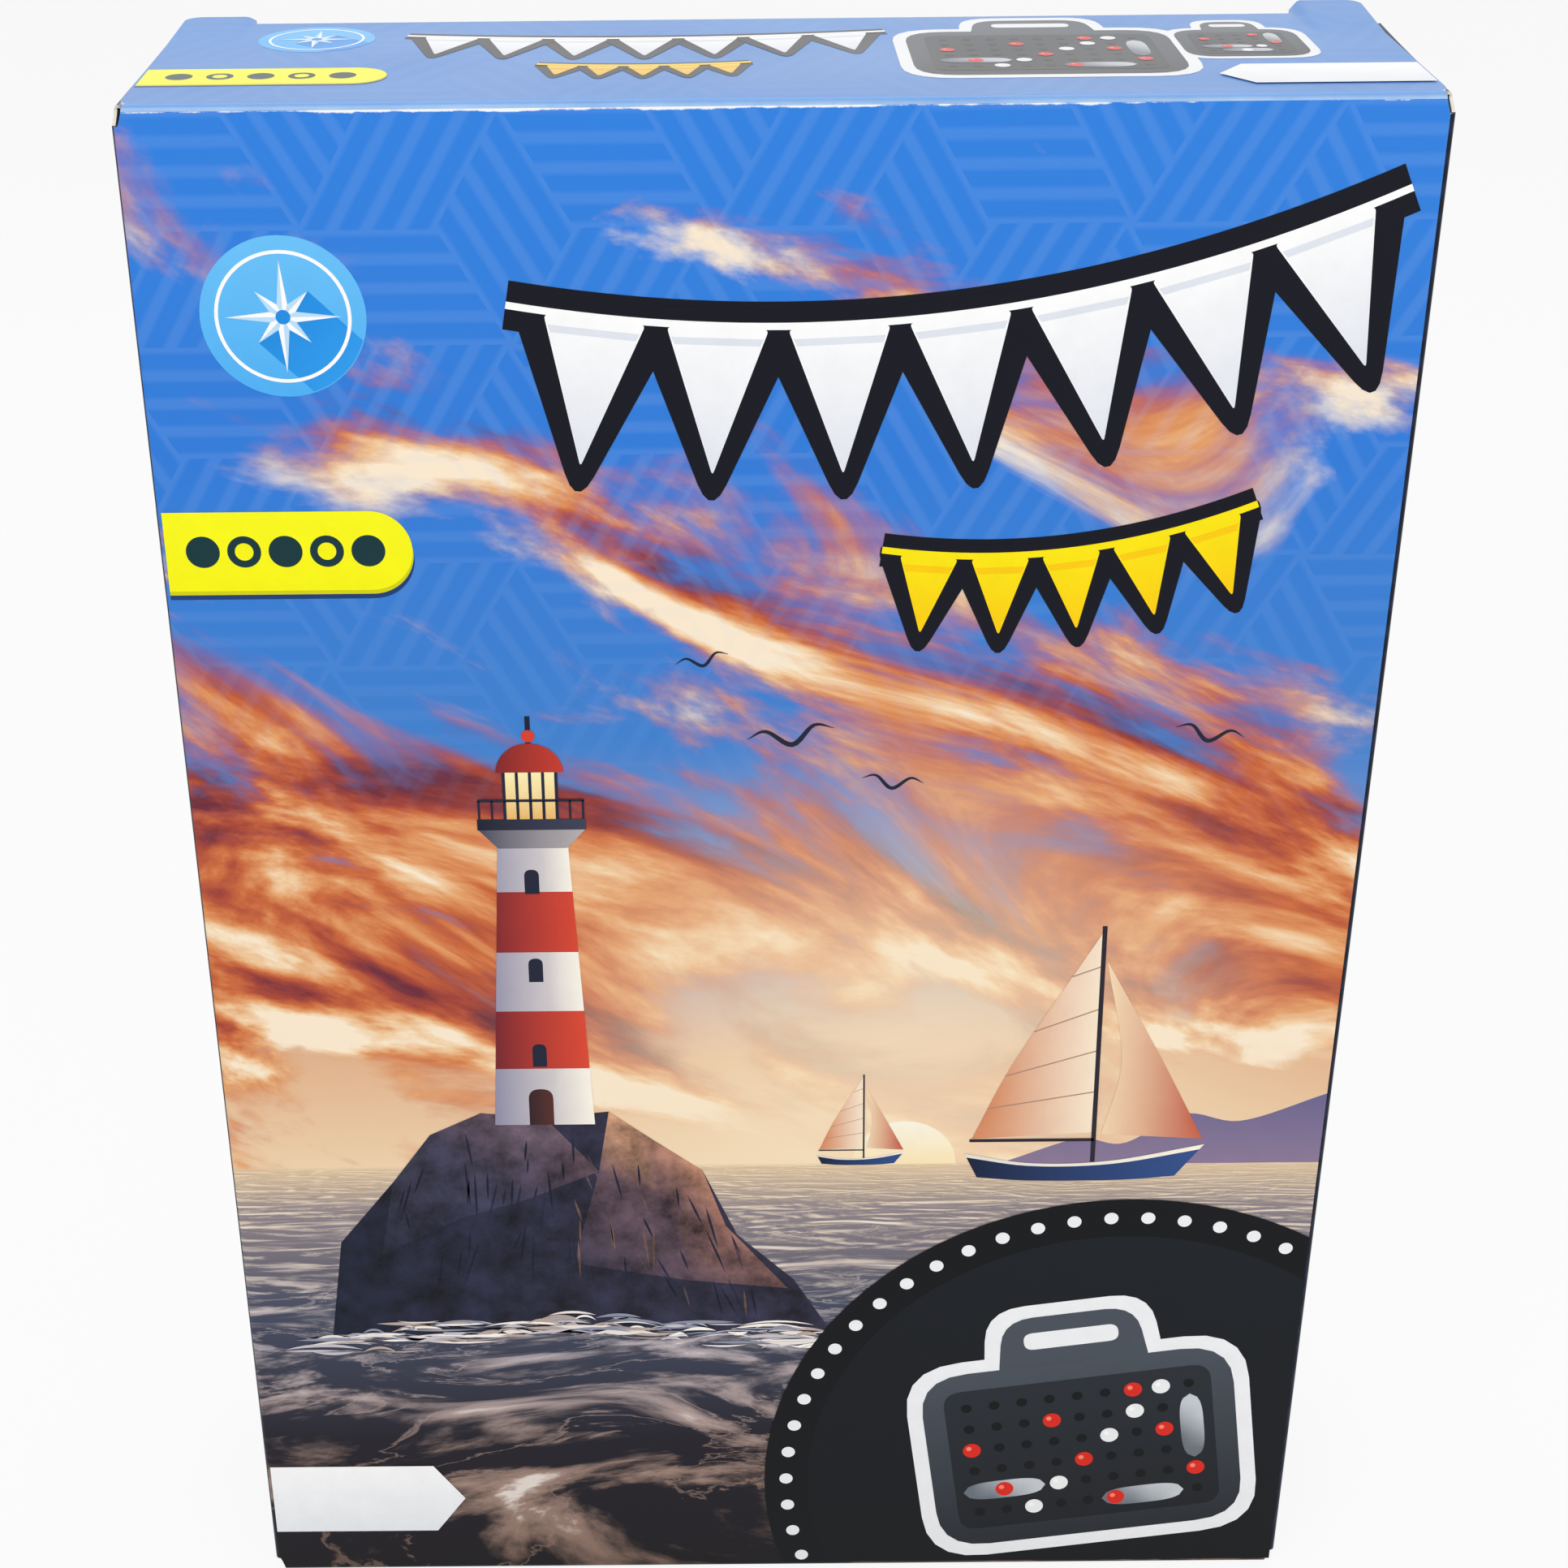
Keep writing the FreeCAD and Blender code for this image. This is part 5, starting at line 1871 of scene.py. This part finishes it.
@dataclass(frozen=True)
class Horizon(Motif):
    """Setting sun and headland on the horizon, at their places on the sheet."""

    level: float = 94.0
    sun: float = 22.0
    sun_radius: float = 9.0
    land_foot: float = 93.6
    land: tuple[Pair, ...] = ((40, 94.5), (52, 99), (60, 98), (70, 104), (80, 102.5), (94.1, 108))

    def patches(self) -> list[Patch]:
        """Half a disc over the horizon, and a line of hills down to it.

        Returns:
            The sun and the headland.
        """
        t = np.linspace(0, math.pi, 40)
        x = self.sun + self.sun_radius * np.cos(t)
        top = self.level + self.sun_radius
        hills = smooth(self.land, 40)
        return [
            Patch.ruled(pairs(x, self.level), pairs(x, self.level + self.sun_radius * np.sin(t)),
                        Ink("#FFE9B8", "#FFF9E6", (0, self.level), (0, top)), 0),
            Patch.ruled(pairs(hills[:, 0], self.land_foot), hills,
                        Ink("#8C7A98", "#6B6690", (0, self.level), (0, self.land[-1][1])), 0)]


@dataclass(frozen=True)
class Surf(Motif):
    """Surf where the rock meets the water, at its place on the sheet."""

    seed: int = 12
    strokes: int = 150
    middle: Pair = (-37.0, 58.2)
    reach: float = 47.0
    bow: float = 3.5
    scatter: float = 1.3
    stroke_length: Pair = (1.5, 7.0)
    stroke_rise: Pair = (-0.5, 1.1)
    stroke_width: Pair = (0.2, 0.85)
    hairline: float = 0.02
    level: float = 7.0
    level_step: float = 0.4
    levels: int = 12
    tones: tuple[str, ...] = ("#EFE6E0", "#C9C4CC", "#8F93A6", "#FFF8F0", "#B9A79E")

    def patches(self) -> list[Patch]:
        """Scatter tapering strokes along a line that bows down towards both ends.

        Returns:
            The strokes.
        """
        draw = np.random.default_rng(self.seed)
        t = np.linspace(-1, 1, 9)
        taper = 1 - t ** 2
        parts = []
        for k in range(self.strokes):
            share = draw.uniform(-1, 1)
            length = draw.uniform(*self.stroke_length)
            z = self.middle[1] - self.bow * share ** 2 + draw.normal(0.0, self.scatter)
            rise = draw.uniform(*self.stroke_rise)
            width = draw.uniform(*self.stroke_width) * taper + self.hairline
            tone = self.tones[draw.integers(len(self.tones))]
            line = pairs(self.middle[0] + self.reach * share + t * length, z + rise * taper)
            level = self.level + self.level_step * (k % self.levels)
            parts.append(Patch.stroke(line, width, Ink(tone), level))
        return parts


@dataclass(frozen=True)
class Gull(Motif):
    """Distant gull: two bowed wings, thin at the tips."""

    span: float
    thickness: float = 0.12
    tip: float = 0.05

    def patches(self) -> list[Patch]:
        """Draw one line through both wings, whose width falls off towards the tips.

        Returns:
            The gull.
        """
        wings = smooth([(-1, 0.28), (-0.55, 0.42), (0, 0), (0.55, 0.42), (1, 0.28)], 25) * self.span
        width = self.span * self.thickness * (1 - np.abs(np.linspace(-1, 1, 25)) ** 1.5) + self.tip
        return [Patch.stroke(wings, width, Ink("#1B2238"), 1)]


@dataclass(frozen=True)
class CornerDisc(Motif):
    """Dark round field in the sheet's lower right corner with a peg board, ringed by a dotted band."""

    edge: float
    centre: Pair = (62.0, 22.0)
    radius: float = 56.0
    band: float = 64.0
    dot_radius: float = 60.0
    dot: float = 1.25
    dot_angles: Triple = (62, 201, 6.2)
    foot: float = 0.6
    level: int = 12

    def _field(self, radius: float, tone: Ink, level: int) -> Patch:
        """Cut a disc by the sheet's right and lower edges.

        Args:
            radius: Radius of the disc.
            tone: Its colour.
            level: Layer of the print.

        Returns:
            The part of it that lies on the sheet.
        """
        x0, z0 = self.centre
        turn = np.linspace(0, 0.5 * math.pi + math.asin((self.edge - x0) / radius), 60)
        x = x0 - radius * np.cos(turn)
        rise = np.sqrt(np.maximum(radius ** 2 - (x - x0) ** 2, 0))
        low = np.maximum(z0 - rise, self.foot)
        return Patch.ruled(pairs(x, low), pairs(x, np.maximum(z0 + rise, low)), tone, level)

    def patches(self) -> list[Patch]:
        """Lay the band, the field, the band's dots and the peg board.

        Returns:
            The shapes, lowest first.
        """
        angle = np.radians(np.arange(*self.dot_angles))
        spots = self.centre + self.dot_radius * ways(angle)
        inner = Ink("#06090E", "#10161E", (0, 0), (0, self.centre[1] + self.radius))
        return [
            self._field(self.band, Ink("#06080F"), self.level),
            self._field(self.radius, inner, self.level + 1),
            *(Patch.fan(circle(spot, self.dot, 18), Ink("#F4F5F7"), self.level + 2) for spot in spots),
            *PegBoard(9, 6, 5.1).at(57.0, 29.0, turn=8.0, lift=self.level + 1)]


@dataclass(frozen=True)
class Label(Motif):
    """Bare white tag that runs off an edge and ends in a point."""

    length: float
    height: float
    way: int = 1
    point: float = 0.7
    level: int = 14

    def patches(self) -> list[Patch]:
        """Span the tag between two lines that meet at its point.

        Returns:
            The tag.
        """
        h = self.height / 2
        along = np.array([0.0, self.length - self.point * h, self.length]) * self.way
        half = h * np.array([1, 1, 0])
        tones = Ink("#FFFFFF", "#ECEFF3", (0, h), (0, -h))
        return [Patch.ruled(pairs(along, -half), pairs(along, half), tones, self.level)]


@dataclass
class Pictures:
    """All printed motifs, laid face by face: an evening coast, bunting and a peg board."""

    carton: Carton
    rock: Pair = (-40.0, 103.0)
    tag_level: float = 210.0
    gulls: tuple[tuple[float, float, float, float], ...] = (
        (2, 176, 7.0, 8), (18, 168, 5.0, -6), (-12, 190, 4.2, 12), (68, 176, 5.6, -10))
    swells: tuple[Swell, ...] = (
        Swell(78.0, 6.0, 46.0, 0.4, "#7FA9E4", "#3E6DB4", 30.0, 1),
        Swell(56.0, 8.0, 60.0, 2.2, "#4B7CC6", "#1F4484", 34.0, 3),
        Swell(30.0, 9.5, 78.0, 1.1, "#28508F", "#0B1B3C", 40.0, 5))

    def build(self) -> None:
        """Make the inks and lay each face's motifs."""
        painted = LaidInk(7.0, (0.2, 1.9))
        self.finish = CoatedBoard("gloss_board_ink", LaidInk()).material()
        self.lid_finish = CoatedBoard("gloss_board_lid_ink", LaidInk(), specular=0.35, coat=0.15).material()
        self.rock_finish = CoatedBoard("gloss_board_rock_ink", painted).material()
        self.front()
        self.lid()
        self.sides()
        self.back()

    def front(self) -> None:
        """Front: coast and sea below, bunting, badge and tag above, peg board at lower right."""
        sheet = Print(self.carton, Face.FRONT, self.finish)
        sheet.lay("sea", Horizon().patches())
        Print(self.carton, Face.FRONT, self.rock_finish).lay("rock", Rock().at(*self.rock, lift=2))
        sheet.lay("lighthouse", Lighthouse().at(*self.rock, lift=2))
        sheet.lay("surf", Surf().patches())
        boat = SailBoat()
        sheet.lay("boats", boat.at(52.0, 91.0, 1.15, lift=1) + boat.at(14.0, 94.2, 0.42))
        sheet.lay("gulls", [
            part for x, z, span, lean in self.gulls for part in Gull(span).at(x, z, turn=lean)])
        white = Pennants(7, 15.0, 23.0, 124.0, 9.0, 3.1)
        yellow = Pennants(5, 9.0, 13.0, 54.0, 3.5, 2.3, "#FFE900", "#FFCE00")
        sheet.lay("bunting", (
            white.at(25.0, 255.0, turn=7.0, lift=4) + yellow.at(44.0, 212.0, turn=7.0, lift=4)))
        sheet.lay("badge", CompassBadge(12.2).at(-73.0, 247.0))
        sheet.lay("tag", EdgeTag(38.0, 13.0).at(-sheet.edge, self.tag_level))
        sheet.lay("board", CornerDisc(sheet.edge).patches())
        sheet.lay("label", Label(36.0, 16.0).at(-sheet.edge, 18.0))

    def lid(self) -> None:
        """Lid: the front's motifs once more, smaller and side by side."""
        sheet = Print(self.carton, Face.LID, self.lid_finish)
        white = Pennants(7, 8.6, 12.0, 70.0, 3.0, 1.7)
        yellow = Pennants(5, 5.0, 6.4, 30.0, 1.4, 1.3, "#FFD84A", "#F2BE3A")
        sheet.lay("bunting", white.at(-20.0, 14.0, lift=1) + yellow.at(-20.0, -6.5, lift=1))
        sheet.lay("badge", CompassBadge(9.0).at(-71.0, 13.0))
        sheet.lay("tag", EdgeTag(36.0, 10.0).at(-sheet.edge, -12.0))
        sheet.lay("boards", PegBoard(9, 6, 3.6).at(40.0, -1.0) + PegBoard(5, 5, 2.6).at(70.5, 4.0, lift=0.5))
        sheet.lay("label", Label(30.0, 12.0, -1).at(sheet.edge, -17.0))

    def sides(self) -> None:
        """Sides: bunting down the navy board, and on the left the end of the front's tag."""
        sheets = [Print(self.carton, face, self.finish) for face in (Face.LEFT, Face.RIGHT)]
        for sheet in sheets:
            flags = Pennants(8, 13.0, 20.0, 150.0, 5.0, 1.6, "#F3F4F6", "#D9DDE6")
            sheet.lay("bunting", flags.at(-8.0, 108.0, turn=90.0))
            sheet.lay("badge", CompassBadge(10.0).at(0.0, 252.0))
        sheets[0].lay("tag", EdgeTag(24.0, 13.0, 3, -1).at(sheets[0].edge, self.tag_level))

    def back(self) -> None:
        """Back: two peg boards face to face on blue, bunting above and waves below."""
        sheet = Print(self.carton, Face.BACK, self.finish)
        sheet.lay("bunting", Pennants(9, 15.0, 22.0, 160.0, 10.0, 2.8).at(0.0, 262.0))
        board = PegBoard(10, 10, 6.2)
        sheet.lay("boards", board.at(-46.0, 158.0, turn=4.0) + board.at(46.0, 158.0, turn=-4.0))
        sheet.lay("sea", [part for swell in self.swells for part in swell.patches()])
        sheet.lay("boats", SailBoat().at(-30.0, 80.0, lift=1))


@dataclass
class Contents:
    """The two cases, their pieces and the leaflet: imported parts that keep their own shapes."""

    finishes: tuple[tuple[str, MouldedPlastic | DrawnWire | RawBoard], ...] = (
        ("case_plastic", MouldedPlastic("spark_textured_polystyrene", "#2A2C30", "#222428", 0.45, 0.03, 0.5)),
        ("grid_plastic", MouldedPlastic("satin_polystyrene", "#1E2126", "#181B1F", 0.4, 0.015, 0.4)),
        ("latch_plastic", MouldedPlastic(
            "polished_polystyrene_grey", "#3A3D42", "#303338", 0.6, 0.004, 0.25)),
        ("ship_plastic", MouldedPlastic("satin_polystyrene_grey", "#AAB0B6", "#9CA2A9", 0.4, 0.012, 0.38)),
        ("red_plastic", MouldedPlastic("polished_polystyrene_red", "#D9281C", "#C21D14", 0.6, 0.003, 0.22)),
        ("white_plastic", MouldedPlastic(
            "polished_polystyrene_white", "#F1F1EE", "#E6E6E2", 0.6, 0.003, 0.22)),
        ("rod_steel", DrawnWire("drawn_steel_wire")),
        ("leaflet_paper", RawBoard("uncoated_paper", "#F4F1EA", "#E6E1D6", 0.8)))

    def dress(self) -> None:
        """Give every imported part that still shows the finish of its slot."""
        made = {slot: finish.material() for slot, finish in self.finishes}
        for part in frame["record"]["subparts"]:
            finish = made.get(part["material_slot"])
            if finish is not None:
                materials = frame["nodes"][part["node"]].data.materials
                materials.clear()
                materials.append(finish)
                LOG.info("%s: %s", part["node"], finish.name)


def stand(name: str, item: bpy.types.ID, place: Triple, axes: Points) -> bpy.types.Object:
    """Put a lamp or a camera into the scene.

    Args:
        name: Name of the object.
        item: The lamp or camera.
        place: Where it stands, in millimetres.
        axes: Its right, its up and the way behind it, one column each.

    Returns:
        The new object.
    """
    thing = bpy.data.objects.new(name, item)
    thing.matrix_world = Matrix.Translation(np.array(place) * MM) @ Matrix(axes.tolist()).to_4x4()
    bpy.context.scene.collection.objects.link(thing)
    return thing


@dataclass(frozen=True)
class SoftBox:
    """One square soft box that looks at a point."""

    name: str
    place: Triple
    aim: Triple
    size: float
    watts: float

    def build(self) -> None:
        """Hang the lamp: it looks from its place to its aim, and its side stays level."""
        lamp = bpy.data.lights.new(self.name, "AREA")
        lamp.size = self.size * MM
        lamp.energy = self.watts
        back = unit(np.array(self.place) - np.array(self.aim))
        right = unit(np.cross((0.0, 0.0, 1.0), back))
        stand(self.name, lamp, self.place, np.column_stack([right, np.cross(back, right), back]))


@dataclass
class Studio:
    """Plain pale floor, soft light and the camera at the photograph's angle."""

    lens: float = 59.32
    sensor: float = 36.0
    shift: float = 0.0555
    near_clip: float = 10.0
    place: Triple = (-11.98, -394.99, 362.88)
    pitch: float = 0.48697
    yaw: float = -0.00337
    roll: float = -0.01094
    floor_half: float = 2500.0
    floor_white: float = 0.88
    floor_tones: tuple[str, str] = ("#F3F3F2", "#F8F8F7")
    mottle_size: float = 250.0
    daylight: float = 0.45
    boxes: tuple[SoftBox, ...] = (
        SoftBox("key", (-500.0, -1000.0, 950.0), (0.0, 0.0, 120.0), 900.0, 6.0),
        SoftBox("fill", (700.0, -900.0, 500.0), (0.0, 0.0, 130.0), 900.0, 3.2),
        SoftBox("top", (0.0, 250.0, 1100.0), (0.0, 0.0, 150.0), 800.0, 3.6))

    def build(self) -> None:
        """Set up floor, world, lamps and camera."""
        bpy.context.scene.view_settings.view_transform = "Standard"
        self._floor()
        self._world()
        for box in self.boxes:
            box.build()
        self._camera()

    def _floor(self) -> None:
        """Lay a wide flat sheet of matt paper, nearly white to the eye, that keeps the shadow."""
        bench = Bench(bpy.data.materials.new("matt_white_paper_sweep"))
        tone = bench.tones(bench.noise(self.mottle_size, detail=3.0), *self.floor_tones)
        paper = bench.add("BsdfPrincipled", {
            "Base Color": tone, "Roughness": 0.9, "Specular IOR Level": 0.1})
        share = bench.math("MULTIPLY", bench.seen(), self.floor_white)
        white = bench.add("Emission", {"Strength": 1.0})
        finish = bench.close(bench.add("MixShader", {0: share, 1: paper, 2: white}))
        corners = block(-self.floor_half, self.floor_half, self.floor_half)
        floor = make_piece("floor", np.pad(corners, ((0, 0), (0, 1))), [(0, 1, 2, 3)], [finish])

    def _world(self) -> None:
        """Make the world white to the eye and in reflections, and softer as a light."""
        world = bpy.data.worlds.new("studio")
        bpy.context.scene.world = world
        bench = Bench(world)
        strength = bench.spread(bench.seen(), (0.0, 1.0), (self.daylight, 1.0))
        back = bench.add("Background", {"Color": (1.0, 1.0, 1.0, 1.0), "Strength": strength})
        bench.add("OutputWorld", {"Surface": back})

    def _camera(self) -> None:
        """Look down at the front: forward from yaw and pitch, then rolled about that line."""
        sight = bpy.data.cameras.new("camera")
        sight.lens = self.lens
        sight.sensor_width = self.sensor
        sight.sensor_fit = "HORIZONTAL"
        sight.shift_x = self.shift
        sight.clip_start = self.near_clip * MM
        level = np.array([math.sin(self.yaw), math.cos(self.yaw), 0.0])
        ahead = level * math.cos(self.pitch) - (0.0, 0.0, math.sin(self.pitch))
        right = np.array([math.cos(self.yaw), -math.sin(self.yaw), 0.0])
        up = np.cross(right, ahead)
        c, s = math.cos(self.roll), math.sin(self.roll)
        turn = np.column_stack([right * c + up * s, up * c - right * s, -ahead])
        bpy.context.scene.camera = stand("camera", sight, self.place, turn)


def main() -> None:
    """Build the carton, its prints, its contents and the studio."""
    logging.basicConfig(level=logging.INFO, format="%(name)s: %(message)s")
    carton = Carton()
    carton.build()
    Pictures(carton).build()
    Contents().dress()
    Studio().build()


if __name__ == "__main__":
    main()
